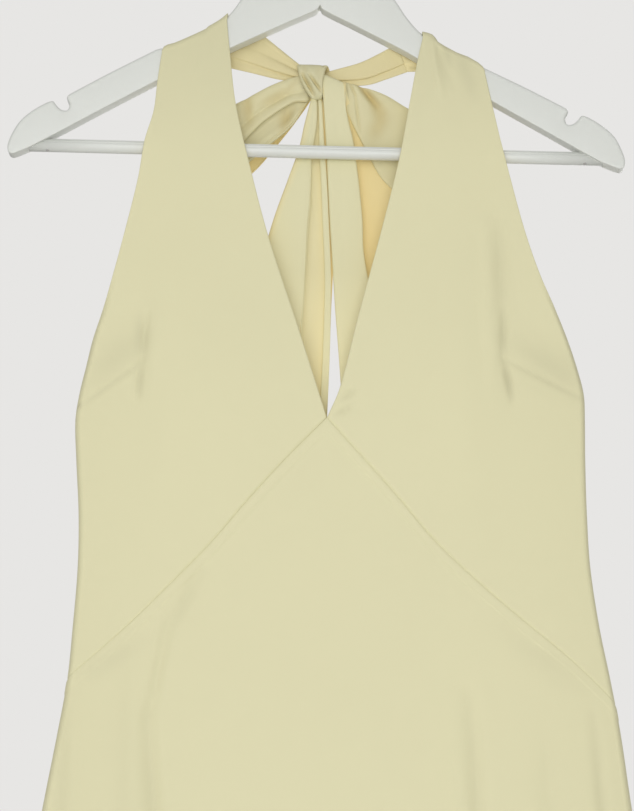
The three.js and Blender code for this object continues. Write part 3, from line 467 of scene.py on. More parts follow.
# The tails: lines down each, then by drop how strongly and how sharply it is folded and how its top leans
TAIL = "y drop outer ridge thin inner under"
TAILS = {
    "left": {
        "rows": rows_of(
            TAIL,
            (18.0, 174.0, -9.0, -6.5, -5.5, -4.0, 2.0), (12.5, 180.5, -9.6, -5.9, -4.6, -2.6, 3.0),
            (9.6, 187.0, -10.9, -5.3, -4.1, -1.5, 4.0), (8.6, 201.0, -14.4, -5.5, -3.7, -0.7, 4.0),
            (8.2, 220.0, -18.6, -8.2, -3.4, 0.4, 4.0), (8.2, 243.0, -26.5, -10.6, -2.4, 1.9, 4.0),
            (8.6, 273.0, -37.0, -14.3, -1.4, 3.0, 4.0), (9.6, 311.0, -47.5, -16.6, 0.1, 4.6, 1.6),
            (9.0, 340.0, -53.5, -18.4, -0.2, 4.4, 0.4), (9.0, 378.0, -61.5, -21.5, -1.6, 3.4, 0.2),
            (11.0, 421.0, -69.0, -25.0, -3.8, 1.5, 0.2), (16.4, 480.0, -76.0, -30.0, -6.6, -1.0, 0.2),
            (18.4, 550.0, -81.0, -34.0, -10.0, -5.0, 0.2), (20.6, 625.0, -84.0, -37.0, -13.6, -9.0, 0.2),
        ),
        "fold": [
            (174.0, 0.0), (180.0, 0.5), (190.0, 0.8), (215.0, 1.0), (300.0, 1.0), (420.0, 0.6),
            (625.0, 0.4),
        ],
        "crisp": [(174.0, 1.0), (230.0, 1.0), (262.0, 0.1), (625.0, 0.0)],
        "lean": [(174.0, 0.0), (625.0, 0.0)],
        "profile": rows_of(
            FOLD,
            ("outer", 0.0, 1.0, 0.5, 0.0), ("outer", 1.2, -0.2, 0.3, 0.0), ("outer", 6.0, -0.9, 0.0, 0.0),
            ("ridge", -3.0, -1.2, 0.0, 0.0), ("ridge", 0.0, -0.3, 0.1, 3.0),
            ("ridge", -1.6, 1.6, 0.25, 5.0), ("ridge", 1.5, 3.0, 0.25, 7.0),
            ("thin", -0.4, 3.0, 0.35, 0.0), ("thin", 0.8, 1.4, 0.55, 0.0), ("thin", -0.3, -0.1, 0.2, 0.0),
            ("thin", 1.2, -0.9, 0.0, 0.0), ("inner", -0.8, -0.7, 0.0, 0.0), ("inner", 0.0, 0.0, 0.4, 0.0),
            ("inner", -0.9, 1.5, 1.0, 0.0), ("under", 0.0, 2.6, 1.0, 0.0),
        ),
        "slant": 30.0,
    },
    "right": {
        "rows": rows_of(
            TAIL,
            (18.0, 168.0, 9.0, 8.0, 2.0, -9.0, 0.0), (13.6, 161.0, 13.6, 12.6, 5.0, -6.0, 0.0),
            (10.2, 162.0, 15.4, 14.4, 6.0, -4.0, 0.0), (8.4, 168.0, 16.2, 15.2, 7.0, -2.4, 0.0),
            (7.6, 178.0, 17.4, 15.4, 7.4, -1.0, 0.0), (7.2, 189.0, 20.0, 15.6, 7.6, -0.3, 0.0),
            (7.0, 201.0, 27.0, 17.8, 8.6, 0.3, 0.0), (7.0, 216.0, 36.0, 21.2, 10.0, 1.2, 0.0),
            (7.2, 245.0, 49.5, 24.9, 12.0, 2.5, 0.0), (8.0, 273.0, 58.0, 27.5, 13.5, 3.8, 0.0),
            (8.8, 300.0, 64.0, 28.8, 14.8, 5.4, 0.0), (8.8, 340.0, 71.0, 36.0, 18.8, 7.8, 0.0),
            (9.0, 378.0, 77.0, 42.0, 22.4, 10.6, 0.0), (11.0, 421.0, 85.0, 47.0, 26.0, 13.2, 0.0),
            (16.0, 480.0, 91.0, 52.0, 29.0, 15.4, 0.0), (18.4, 550.0, 94.0, 55.0, 31.0, 17.0, 0.0),
            (20.6, 615.0, 96.0, 57.0, 33.0, 19.0, 0.0),
        ),
        "fold": [
            (160.0, 0.0), (170.0, 0.1), (187.0, 0.7), (205.0, 1.0), (300.0, 1.0), (420.0, 0.6),
            (615.0, 0.3),
        ],
        "crisp": [(160.0, 1.0), (615.0, 1.0)],
        "lean": [(160.0, 9.0), (169.0, 7.0), (185.0, 0.0), (615.0, 0.0)],
        "profile": rows_of(
            FOLD,
            ("inner", 0.6, 2.0, 0.9, 0.0), ("inner", 0.0, 0.6, 0.4, 0.0), ("inner", 0.5, -0.4, 0.0, 0.0),
            ("inner", 1.8, -0.9, 0.0, 0.0), ("thin", 0.0, -0.8, 0.0, 0.0),
            ("ridge", -2.0, -1.1, 0.0, 0.0), ("ridge", 0.0, -0.2, 0.1, 0.0),
            ("ridge", -1.4, 2.0, 0.9, 0.0), ("ridge", 2.0, 6.4, 0.9, 0.0), ("outer", -4.0, 7.0, 0.8, 0.0),
            ("outer", 0.0, 7.6, 0.8, 0.0),
        ),
        "slant": -34.0,
    },
}

# Painted warm bounce light, a deeper tone in the colour: inside the cloth, on the bands, loops, lower fold
# and knot
INSIDE_BOUNCE_LIGHT = 0.5
BAND_BOUNCE_LIGHT = 0.25
LOOP_BOUNCE_LIGHT = 0.15
LOWER_BOUNCE_LIGHT = 0.1
KNOT_BOUNCE_LIGHT = 0.05

# Where along a loop its front turns into its back, and the painted warm bounce light that its back adds
LOOP_TURN = (0.45, 0.6)
LOOP_BACK_BOUNCE_LIGHT = 0.6

# Painted shade in the colour of the strap tops, the bands, the loops and the knot
STRAP_SHADE = 0.2
STRAP_SHADE_ENDS = (130.0, 250.0)
BAND_SHADE = 0.18
LOOP_SHADE = 0.16
KNOT_SHADE = 0.25

# Painted light where less light reaches: shade below nothing is a paler tone, inside the loops and on the
# tails by drop
LOOP_INSIDE_PAINTED_LIGHT = -0.38
TAIL_PAINTED_LIGHT = [(310.0, 0.0), (385.0, -0.45), (430.0, -0.45), (500.0, 0.0)]

# The knot: a rounded core and the band that wraps it from the upper left to the lower right
KNOT_CENTRE = (-7.2, 21.0, -169.0)
KNOT_CORE = (11.2, 8.6, 10.2)
KNOT_WRAP = {
    "rows": rows_of(
        STRIP,
        (-14.0, 26.0, -160.0, 5.0, 24.0, -161.0, 0.2), (-18.4, 20.0, -155.4, 3.4, 17.0, -157.6, 0.5),
        (-19.6, 13.6, -155.2, 2.4, 10.4, -157.0, 0.8), (-19.4, 9.6, -159.2, 0.6, 6.6, -162.4, 1.0),
        (-17.6, 7.6, -167.6, -0.9, 5.6, -170.8, 1.0), (-13.4, 7.8, -176.4, -1.0, 6.4, -178.4, 0.9),
        (-8.6, 10.4, -182.6, -1.8, 9.4, -182.2, 0.6), (-8.4, 15.0, -183.0, -3.0, 15.0, -181.8, 0.3),
    ),
    "profile": [
        (0.0, 2.2), (0.02, 0.4), (0.08, -0.9), (0.2, -1.3), (0.35, -1.5), (0.5, -1.7), (0.65, -1.7),
        (0.8, -1.5), (0.95, -0.9), (1.0, 1.4),
    ],
}
# Creases in the knot, which also set its painted crease shade
KNOT_CREASES = rows_of(
    CREASE,
    (-16.8, 163.0, -7.4, 180.0, 1.2, -3.2), (-11.0, 165.0, -2.0, 178.0, 1.2, -2.8),
    (-13.4, 164.5, -5.2, 177.0, 1.2, 1.0), (-15.0, 156.0, -13.6, 165.0, 2.0, -0.8),
    (-5.0, 157.0, -2.5, 170.0, 2.6, -0.7), (-2.4, 156.0, 1.2, 159.0, 0.9, -1.6),
)

# Light from all round as a share of the backdrop's own brightness, and the lights in metres and watts
AMBIENT = 0.57
LIGHTS = rows_of(
    "name place aim size power",
    ("key", (-0.9, -2.9, -0.1), (0.0, 0.0, -0.6), 1.4, 14.4),
    ("fill", (0.15, -2.7, -1.0), (0.0, 0.0, -0.6), 1.2, 15.2),
    ("front", (0.02, -2.8, -0.35), (0.0, 0.0, -0.5), 0.8, 7.4),
    ("back", (0.7, 3.0, 0.2), (0.0, 0.0, -0.7), 2.0, 22.0),
)

# The floor: half its width in metres, and how far it lies below the hem in mm
FLOOR_HALF = 9.0
FLOOR_BELOW_HEM = 150.0

# The camera: lens and sensor in mm, place in metres
CAMERA_LENS = 127.0
CAMERA_SENSOR = 36.0
CAMERA_X = -0.0053
CAMERA_Z = -0.7629
CAMERA_PITCH = math.radians(100.0)


def curve(keys, values):
    """A smooth curve through values at their keys, straight beyond its ends; it takes arrays."""
    keys = np.asarray(keys, float)
    values = np.asarray(values, float)
    slopes = np.empty_like(values)
    slopes[1:-1] = (values[2:] - values[:-2]) / (keys[2:] - keys[:-2])
    slopes[0] = (values[1] - values[0]) / (keys[1] - keys[0])
    slopes[-1] = (values[-1] - values[-2]) / (keys[-1] - keys[-2])

    def at(place):
        place = np.asarray(place, float)
        k = np.clip(np.searchsorted(keys, place) - 1, 0, len(keys) - 2)
        span = keys[k + 1] - keys[k]
        t = np.clip((place - keys[k]) / span, 0.0, 1.0)
        bend = t * t * (3 - 2 * t)
        rise = slopes[k] * t * (1 - t) ** 2 - slopes[k + 1] * t * t * (1 - t)
        inside = values[k] + (values[k + 1] - values[k]) * bend + rise * span
        below = np.minimum(place - keys[0], 0.0) * slopes[0]
        above = np.maximum(place - keys[-1], 0.0) * slopes[-1]
        return inside + below + above

    return at


def column(table, key, name):
    """The curve through one column of a table."""
    return curve([row[key] for row in table], [row[name] for row in table])


def spaced(rows):
    """The rows of a table with their even places along it, from 0 to 1."""
    return [dict(row, at=k / (len(rows) - 1)) for k, row in enumerate(rows)]


def run_length(points, power=1.0):
    """Distance along a run of points; a power below 1 brings long and short gaps closer together."""
    gaps = np.linalg.norm(np.diff(points, axis=0), axis=1) ** power
    return np.concatenate([[0.0], np.cumsum(gaps)])


def settle(start, step):
    """Repeats a step until a value that depends on itself has settled."""
    value = start
    for _ in range(SETTLE_STEPS):
        value = step(value)
    return value


def mix(a, b, t):
    return a + (b - a) * t


def smooth_between(low, high, value):
    t = np.clip((value - low) / (high - low), 0.0, 1.0)
    return t * t * (3 - 2 * t)


SIDE_EDGE = {side: column(OUTLINE, "drop", side) for side in SIDES}
DEPTH = {face: column(DEPTHS, "drop", face) for face in ("front", "back")}
ROUNDING = column(DEPTHS, "drop", "round")
NECK_EDGE = {side: column(NECKLINE, "drop", side) for side in SIDES}
SEAM_DROP = {side: column(SEAMS[side], "reach", "drop") for side in SIDES}
ARM_TOP_DROP = column(ARM_TOP, "out", "drop")


def section(drop):
    """Centre, half width, side rounding and reach round the cloth at one height."""
    left, right = SIDE_EDGE["left"](drop), SIDE_EDGE["right"](drop)
    half = (right - left) / 2
    rounding = ROUNDING(drop)
    return (left + right) / 2, half, rounding, half - rounding + rounding * math.pi / 2


def flutes(table, reach, drop):
    total = 0.0
    for flute in table:
        fall = np.clip((drop - flute["start"]) / (HEM_DROP - flute["start"]), 0.0, 1.1)
        centre = mix(flute["top"], flute["hem"], fall)
        width = flute["width"] * mix(FLUTE_TOP_WIDTH, 1.0, fall)
        total = total + flute["depth"] * fall**FLUTE_POWER * np.exp(-(((reach - centre) / width) ** 2))
    return total


def fullness(reach, drop):
    total = 0.0
    for cup in BUST:
        away = ((reach - cup["reach"]) / cup["wide"]) ** 2 + ((drop - cup["drop"]) / cup["tall"]) ** 2
        total = total + cup["depth"] * np.exp(-away)
    return total


def creases(table, x, drop):
    """Soft troughs and ridges along short lines, fading out at their ends."""
    total = np.zeros_like(x)
    for crease in table:
        run = np.array([crease["x1"] - crease["x0"], crease["d1"] - crease["d0"]])
        length = float(np.hypot(*run))
        along = ((x - crease["x0"]) * run[0] + (drop - crease["d0"]) * run[1]) / length
        off = ((x - crease["x0"]) * run[1] - (drop - crease["d0"]) * run[0]) / length
        past = np.maximum(np.abs(along - length / 2) - length / 2, 0.0)
        middle = np.clip(np.sin(np.clip(along / length, 0.0, 1.0) * math.pi), 0.0, 1.0)
        away = (off / crease["width"]) ** 2 + (past / crease["width"]) ** 2
        total += crease["depth"] * mix(CREASE_ENDS, 1.0, middle) * np.exp(-away)
    return total


def dented(table, x, drop, full):
    """How deep in a trough a place lies, from 0 to 1 at the full depth."""
    return np.clip(-creases(table, x, drop) / full, 0.0, 1.0)


def front_shade(points):
    return dented(FRONT_SHADES, points[..., 0], -points[..., 2], 1.0)


def body_points(face, reach, drop, relief=0.0):
    """Outer points of the front or back, in mm; relief stands out from the cloth."""
    facing = -1.0 if face == "front" else 1.0
    centre, half, rounding, _ = section(drop)
    turned = smooth_between(FLAT_DROP, TURNED_DROP, drop) if face == "front" else np.ones_like(drop)
    past = np.maximum(np.abs(reach) - (half - rounding), 0.0)
    turn = past / rounding
    across = np.minimum(np.abs(reach), half - rounding)
    x = centre + np.sign(reach) * (across + mix(past * 2 / math.pi, rounding * np.sin(turn), turned))
    droop = SIDE_DROOP * turned * (across / (half - rounding)) ** 4
    fade = (1 - turned * (1 - np.cos(turn))) * (1 - droop)
    folds = flutes(FLUTES[face], reach, drop)
    if face == "front":
        folds = folds + fullness(reach, drop)
    folds = folds + creases(CREASES[face], centre + reach, drop)
    y = (DEPTH[face](drop) - SEAM_GAP / 2 + folds) * fade + SEAM_GAP / 2
    x = x + np.sign(reach) * relief * np.sin(np.minimum(turn, math.pi / 2)) * turned
    y = y + relief * fade
    return np.stack([x, facing * y, -drop], axis=-1)


def over_arm(x):
    """The arm's upper line in the dress's frame: its drop at x, and how its slope stretches heights."""

    def own(drop):
        return x * TILT_COS + drop * TILT_SIN

    def step(drop):
        return own(drop) * TILT_SIN + ARM_TOP_DROP(np.abs(own(drop))) * TILT_COS

    drop = settle(ARM_GUESS + 0.0 * x, step)
    out = np.abs(own(drop))
    slope = ARM_TOP_DROP(out + 0.5) - ARM_TOP_DROP(out - 0.5)
    return drop, np.hypot(1.0, slope)


def saddle(x, t, wall):
    """The strap's path over the arm: t is 0 at the back and 1 at the front."""
    radius = ARM_EDGE + ARM_GAP + wall
    flat_half = HANGER_HALF_THICKNESS - ARM_EDGE
    quarter = radius * math.pi / 2
    run = (1 - t) * (2 * quarter + 2 * flat_half) - quarter - flat_half
    turn = np.clip((np.abs(run) - flat_half) / radius, 0.0, math.pi / 2)
    flat = np.minimum(np.abs(run), flat_half)
    drop, stretch = over_arm(x)
    lift = (radius * np.cos(turn) - ARM_EDGE) * stretch
    y = np.sign(run) * (flat + radius * np.sin(turn)) + 0 * x
    return np.stack([x, y, lift - drop], axis=-1)


def strap_corner(edge, start):
    """Where an edge of the strap meets the arm, in x and drop."""

    def at(x):
        drop, stretch = over_arm(x)
        return drop + ARM_EDGE * stretch

    x = settle(start, lambda guess: edge(at(guess)))
    return float(x), float(at(x))


def seam_end(side):
    """The drop at which a diagonal seam reaches the side seam."""
    sign = -1.0 if side == "left" else 1.0
    return settle(END_GUESS, lambda drop: SEAM_DROP[side](sign * section(drop)[3]))


def rounded_edge(distance, radius, depth):
    """How far a turned edge rolls in, at a distance from the edge."""
    near = np.clip(1 - distance / radius, 0.0, 1.0)
    return -depth * (1 - np.sqrt(np.maximum(1 - near * near, 0.0)))


def seam_relief(distance):
    """The groove where two pieces are sewn, at a distance from the seam."""
    return -SEAM_DEPTH * np.exp(-((distance / SEAM_WIDTH) ** 2))


def hem_relief(distance):
    """The turned-up hem: a soft edge and a faint step where the turning ends."""
    return rounded_edge(distance, *EDGE_ROLL) + HEM_STEP * (1 - smooth_between(*HEM_STEP_ENDS, distance))


def crowded(count):
    """Stations from 0 to 1, closer together towards 1."""
    s = np.linspace(0.0, 1.0, count + 1)
    return s + CROWDING * np.sin(math.pi * s) / math.pi


def near_edges(stations, length, first=True):
    """Adds stations close to the ends of a strip of this length in mm, for its seams and edges."""
    fine = np.array(FINE_CELLS) / length
    extra = [stations, 1 - fine]
    if first:
        extra.append(fine)
    return np.unique(np.concatenate(extra))


def rim(rows, columns):
    """Row and column numbers once round the edge of a grid."""
    ring = [(0, i) for i in range(columns)]
    ring += [(j, columns - 1) for j in range(1, rows)]
    ring += [(rows - 1, i) for i in range(columns - 2, -1, -1)]
    ring += [(j, 0) for j in range(rows - 2, 0, -1)]
    return tuple(np.array(ring).T)


def unit(vectors):
    return vectors / np.maximum(np.linalg.norm(vectors, axis=-1, keepdims=True), 1e-9)


def travelled(points, axis):
    """Distance along the cloth from its first row or column."""
    first = points[:1] if axis == 0 else points[:, :1]
    return np.cumsum(np.linalg.norm(np.diff(points, axis=axis, prepend=first), axis=-1), axis=axis)


def linked(name, data):
    """A new object in the scene."""
    made = bpy.data.objects.new(name, data)
    bpy.context.scene.collection.objects.link(made)
    return made


class Cloth:
    """Grids of outer points, in mm, that become one closed mesh of thin walls."""

    def __init__(self, wall, inside_shade=0.0):
        self.wall = wall
        self.inside_shade = inside_shade
        self.points = []
        self.faces = []
        self.flat = []
        self.values = {"warmth": [], "crease_shade": [], "shade": []}
        self.count = 0

    def add(self, points, outward, warmth=0.0, crease_shade=0.0, shade=0.0):
        """points is rows by columns by 3; outward is 1 if columns cross rows faces out, else -1."""
        shape = points.shape[:2]
        total = shape[0] * shape[1]
        down, over = np.gradient(points, axis=(0, 1))
        inner = points - unit(np.cross(over, down) * outward) * self.wall
        ring = rim(*shape)
        middle = (points[ring] + inner[ring]) / 2
        travel = np.roll(middle, -1, axis=0) - np.roll(middle, 1, axis=0)
        out = unit(np.cross(travel, points[ring] - inner[ring]) * outward)
        middle = middle + out * self.wall * EDGE_BULGE
        spots = np.concatenate([points.reshape(-1, 3), inner.reshape(-1, 3), middle])
        index = np.arange(total).reshape(shape)
        quads = np.stack([index[:-1, :-1], index[:-1, 1:], index[1:, 1:], index[1:, :-1]], axis=-1)
        quads = quads.reshape(-1, 4)
        walls = [quads, quads[:, ::-1] + total]
        rims = (index[ring], 2 * total + np.arange(len(middle)), index[ring] + total)
        for a, b in zip(rims, rims[1:]):
            walls.append(np.stack([a, b, np.roll(b, -1), np.roll(a, -1)], axis=-1))
        faces = np.concatenate(walls)
        if outward < 0:
            faces = faces[:, ::-1]
        self.faces.append(faces + self.count)
        self.points.append(spots)
        # Painted warm bounce light, painted crease shade and painted shade (paler below nothing) for each
        # point
        self.keep("warmth", warmth, INSIDE_BOUNCE_LIGHT, ring, shape)
        self.keep("crease_shade", crease_shade, 0.0, ring, shape)
        self.keep("shade", shade, self.inside_shade, ring, shape)
        uv = np.stack([travelled(points, 1), travelled(points, 0)], axis=-1) * MM
        flat = uv.reshape(-1, 2)
        self.flat.append(np.concatenate([flat, flat, uv[ring]]))
        self.count += len(spots)

    def keep(self, name, outside, inside, ring, shape):
        """Keeps a value for each outer point, inner point and point of the rim."""
        outside = np.broadcast_to(outside, shape)
        kept = [outside.ravel(), np.full(outside.size, inside), outside[ring]]
        self.values[name].append(np.concatenate(kept))

    def make(self, name):
        spots = np.concatenate(self.points) * MM
        faces = np.concatenate(self.faces)
        flat = np.concatenate(self.flat)
        mesh = bpy.data.meshes.new(name)
        mesh.from_pydata(spots.tolist(), [], faces.tolist())
        mesh.polygons.foreach_set("use_smooth", np.ones(len(faces), bool))
        layer = mesh.uv_layers.new(name="cut")
        layer.data.foreach_set("uv", flat[faces.reshape(-1)].reshape(-1))
        for layer_name, values in self.values.items():
            attribute = mesh.attributes.new(layer_name, "FLOAT", "POINT")
            attribute.data.foreach_set("value", np.concatenate(values).astype(np.float32))
        mesh.validate()
        mesh.update()
        return linked(name, mesh)


def bodice_grid(side):
    """Outer points of a front panel, from its cross seam over the hanger down to the diagonal seam."""
    sign = -1.0 if side == "left" else 1.0
    panel = PANELS["bodice"]
    inner_x, inner_top = strap_corner(NECK_EDGE[side], sign * NECK_GUESS)
    outer_x, outer_top = strap_corner(SIDE_EDGE[side], sign * SIDE_GUESS)
    apex = float(SEAM_DROP[side](APEX_REACH)) - SEAM_GAP
    end = float(seam_end(side)) - SEAM_GAP
    end_reach = sign * float(section(seam_end(side))[3])
    s = near_edges(crowded(panel["across"]), panel["width"])[None, :]
    v = near_edges(np.linspace(0.0, 1.0, panel["down"]), panel["length"], first=False)[:, None]
    inner_drop = mix(inner_top, apex, v)
    outer_drop = mix(outer_top, end, v)
    inner_reach = NECK_EDGE[side](inner_drop) - section(inner_drop)[0]
    outer_reach = sign * section(outer_drop)[3]
    reach = mix(inner_reach, outer_reach, s) + sign * SEAM_GAP / 2 * (1 - s)
    x = mix(inner_x, outer_x, s)
    arm_drop, stretch = over_arm(x)
    top_bow = arm_drop + ARM_EDGE * stretch - mix(inner_top, outer_top, s)
    seam_bow = SEAM_DROP[side](mix(APEX_REACH, end_reach, s)) - SEAM_GAP - mix(apex, end, s)
    drop = mix(inner_drop, outer_drop, s) + top_bow * (1 - v) ** 3 + seam_bow * v**3
    width = np.abs(outer_reach - inner_reach)
    to_seam = (1 - v) * mix(apex - inner_top, end - outer_top, s) * SEAM_SLANT
    below_arm = smooth_between(*SIDE_SEAM_TOP, outer_drop)
    side_distance = (1 - s) * width
    relief = seam_relief(to_seam) + seam_relief(side_distance) * below_arm
    relief = relief + rounded_edge(s * width, *EDGE_ROLL)
    relief = relief + rounded_edge(side_distance, *ARMHOLE_ROLL) * (1 - below_arm)
    front = body_points("front", reach, drop, relief)
    front[..., 0] += (x[0] - front[0, :, 0]) * (1 - smooth_between(0.0, STRAP_JOIN, v))
    lift = np.interp(s, *zip(*STRAP_LIFT[side]))
    front[..., 2] += lift * (1 - smooth_between(0.0, LIFT_FADE, v))
    t = np.linspace(0.0, 1.0, STRAP_CELLS["over"])[:-1, None]
    over = saddle(x - sign * STRAP_CARRY * s * (1 - t), t, SEATED_WALL)
    over[..., 2] += lift * smooth_between(*LIFT_RISE, t)
    seam = CROSS_SEAMS[side]
    ends = mix(np.array(seam["upper"]), np.array(seam["lower"]), s[0][:, None])
    t = np.linspace(0.0, 1.0, STRAP_CELLS["behind"])[:-1, None, None]
    behind = mix(ends, over[0], t)
    pleats = 1 - np.cos(2 * math.pi * STRAP_PLEATS * s)
    behind[..., 1] += PLEAT_DEPTH * np.sin(math.pi * t[..., 0]) * pleats
    return np.concatenate([behind, over, front])


def stations(panel):
    """Places across a whole panel, from -1 at its left side to 1 at its right, and down it, from 0 to 1."""
    half = near_edges(crowded(panel["across"] // 2), panel["width"], first=False)
    down = near_edges(np.linspace(0.0, 1.0, panel["down"]), panel["length"])
    return np.concatenate([-half[:0:-1], half])[None, :], down[:, None]


def skirt_grid():
    """Outer points of the skirt's front, from the diagonal seams down to the hem."""
    s, t = stations(PANELS["skirt"])
    left = s < 0
    ends = {side: section(float(seam_end(side)))[3] for side in SIDES}
    side_reach = np.where(left, -ends["left"], ends["right"])
    top_reach = mix(APEX_REACH, side_reach, np.abs(s))
    top_drop = np.where(left, SEAM_DROP["left"](top_reach), SEAM_DROP["right"](top_reach)) + SEAM_GAP
    drop = mix(top_drop, HEM_DROP, t)
    share = mix(top_reach / section(top_drop)[3], s, t)
    reach = share * section(drop)[3]
    to_seam = (drop - top_drop) * SEAM_SLANT
    relief = seam_relief(to_seam) + PRESSED_HEIGHT * (1 - smooth_between(*PRESSED_END, to_seam))
    relief = relief + seam_relief((1 - np.abs(share)) * section(drop)[3])
    relief = relief + hem_relief(HEM_DROP - drop)
    return body_points("front", reach, drop, relief)


def back_grid():
    """Outer points of the back, from its scooped neckline down to the hem."""
    s, t = stations(PANELS["back"])
    top = UNDERARM_DROP + (SCOOP_DROP - UNDERARM_DROP) * (1 - np.abs(s) ** SCOOP_POWER)
    drop = mix(top, HEM_DROP, t)
    reach = s * section(drop)[3]
    relief = seam_relief((1 - np.abs(s)) * section(drop)[3]) + rounded_edge(drop - top, *EDGE_ROLL)
    relief = relief + hem_relief(HEM_DROP - drop)
    return body_points("back", reach, drop, relief)


def strip_grid(strip, along, across):
    """A tie's strip: rows of edges a and b, with the profile's folds between them."""
    rows = spaced(strip["rows"])
    t = np.linspace(0.0, 1.0, along)[:, None]
    a, b = (np.stack([column(rows, "at", edge + axis)(t) for axis in "xyz"], axis=-1) for edge in "ab")
    profile = np.array(strip["profile"]) * [PROFILE_WIDTH, 1.0]
    at = run_length(profile, EVEN_OUT)
    places = np.linspace(0.0, at[-1], across)
    s, depth = (curve(at, values)(places) for values in profile.T)
    points = mix(a, b, (s / PROFILE_WIDTH)[None, :, None])
    points[..., 1] += depth[None, :] * column(rows, "at", "fold")(t)
    return points


def tail_grid(tail, along, across):
    """A tail: rows of its named lines with a profile that runs through them, and its painted warm bounce
    light.
    """
    rows = spaced(tail["rows"])
    t = np.linspace(0.0, 1.0, along)
    line = {name: column(rows, "at", name)(t) for name in TAIL.split()}
    line["under"] = line["inner"] + line["under"]
    fold, crisp, lean = (np.interp(line["drop"], *zip(*tail[name])) for name in ("fold", "crisp", "lean"))
    width = np.abs(line["ridge"] - line["outer"])
    narrow = np.minimum(width / FULL_SHIFT_WIDTH, 1.0) * np.minimum(fold * SHIFT_GROWTH, 1.0)
    places = []
    for point in tail["profile"]:
        shift = np.where(point["shift"] < 0, point["shift"] * crisp, point["shift"])
        x = line[point["line"]] + (shift + point["soft"] * (1 - crisp)) * narrow
        places.append(np.stack([x, line["y"] + point["back"] * fold], axis=-1))
    places = np.array(places)
    # The folds a third of the way down give the profile's spacing for the whole tail
    at = run_length(places[:, along // 3], EVEN_OUT)
    samples = np.linspace(0.0, at[-1], across)
    points = np.empty((along, across, 3))
    for j in range(along):
        for axis in (0, 1):
            points[j, :, axis] = curve(at, places[:, j, axis])(samples)
    share = (points[..., 0] - line["outer"][:, None]) / (line["inner"] - line["outer"])[:, None]
    end = smooth_between(SLANT_START, 1.0, t)[:, None]
    points[..., 2] = -line["drop"][:, None] - tail["slant"] * end * (0.5 - share)
    points[..., 2] -= lean[:, None] * (1 - share)
    # Painted warm bounce light across the tail, growing with its fold
    warmth = np.interp(samples, at, [point["warmth"] for point in tail["profile"]])
    return points, warmth[None, :] * np.minimum(fold, 1.0)[:, None]


class Nodes:
    """Adds nodes to one tree: an input given as a socket is linked, and any other is set."""

    def __init__(self, tree):
        self.tree = tree

    def add(self, kind, inputs, settings):
        made = self.tree.nodes.new(kind)
        for key, value in settings.items():
            setattr(made, key, value)
        for key, value in inputs.items():
            if isinstance(value, bpy.types.NodeSocket):
                self.tree.links.new(value, made.inputs[key])
            else:
                made.inputs[key].default_value = value
        return made.outputs


class Wire:
    """One socket of a shader, to which Python's plus and times add Math nodes."""

    def __init__(self, shader, socket):
        self.shader = shader
        self.socket = socket

    def __add__(self, other):
        return self.shader.node("ShaderNodeMath", {0: self, 1: other}, operation="ADD")

    def __mul__(self, other):
        return self.shader.node("ShaderNodeMath", {0: self, 1: other}, operation="MULTIPLY")


class Shader(Nodes):
    """Builds one material's nodes."""

    def __init__(self, name):
        self.material = bpy.data.materials.new(name)
        self.material.use_nodes = True
        super().__init__(self.material.node_tree)
        self.tree.nodes.clear()

    def node(self, kind, inputs, output=0, **settings):
        plain = {}
        for key, value in inputs.items():
            plain[key] = value.socket if isinstance(value, Wire) else value
        return Wire(self, self.add(kind, plain, settings)[output])

    def noise(self, scale, detail, roughness=0.5, stretch=(1.0, 1.0, 1.0)):
        """Noise in the object's own space, which a stretch draws out."""
        place = self.node("ShaderNodeTexCoord", {}, "Object")
        place = self.node("ShaderNodeMapping", {"Vector": place, "Scale": stretch})
        values = {"Vector": place, "Scale": scale, "Detail": detail, "Roughness": roughness}
        return self.node("ShaderNodeTexNoise", values)

    def kept(self, name):
        """A value kept in the mesh by its name."""
        return self.node("ShaderNodeAttribute", {}, "Fac", attribute_name=name)

    def blend(self, factor, a, b):
        return self.node("ShaderNodeMix", {0: factor, 6: a, 7: b}, 2, data_type="RGBA", clamp_factor=False)

    def bump(self, height, strength, distance=0.0002):
        return self.node("ShaderNodeBump", {"Strength": strength, "Distance": distance, "Height": height})

    def finish(self, **values):
        inputs = {key.replace("_", " "): value for key, value in values.items()}
        surface = self.node("ShaderNodeBsdfPrincipled", inputs)
        out = self.tree.nodes.new("ShaderNodeOutputMaterial")
        self.tree.links.new(surface.socket, out.inputs["Surface"])
        return self.material


def rgba(colour, share=1.0):
    """A colour at a share of its brightness, with full alpha."""
    return (*(c * share for c in colour), 1.0)


def crepe_material(colours):
    """Matt crepe: a pebbly weave, a soft sheen, painted warm bounce light deep in its folds and painted
    shade.
    """
    shader = Shader("butter_crepe")
    broad = shader.noise(scale=9.0, detail=2.0)
    grain = shader.noise(scale=900.0, detail=4.0, roughness=0.6)
    threads = shader.noise(scale=1500.0, detail=2.0, stretch=(1.0, 1.0, 0.12))
    base = shader.blend(broad * 0.5 + grain * 0.3, rgba(colours.cloth), rgba(colours.cloth, 0.965))
    # Painted warm bounce light in the folds and inside the cloth
    base = shader.blend(shader.kept("warmth"), base, rgba(colours.bounce_light_colour))
    # Painted shade in the creases of the bow and knot
    base = shader.blend(shader.kept("crease_shade"), base, rgba(colours.crease_shade_colour))
    # Painted shade towards a darker cloth, and painted light where the share is below nothing
    base = shader.blend(shader.kept("shade"), base, rgba(colours.cloth, 0.55))
    return shader.finish(
        Base_Color=base,
        Roughness=grain * 0.1 + 0.58,
        Normal=shader.bump(grain * 0.7 + threads * 0.3, strength=0.22),
        Sheen_Weight=0.12,
        Sheen_Roughness=0.45,
        Specular_IOR_Level=0.25,
    )


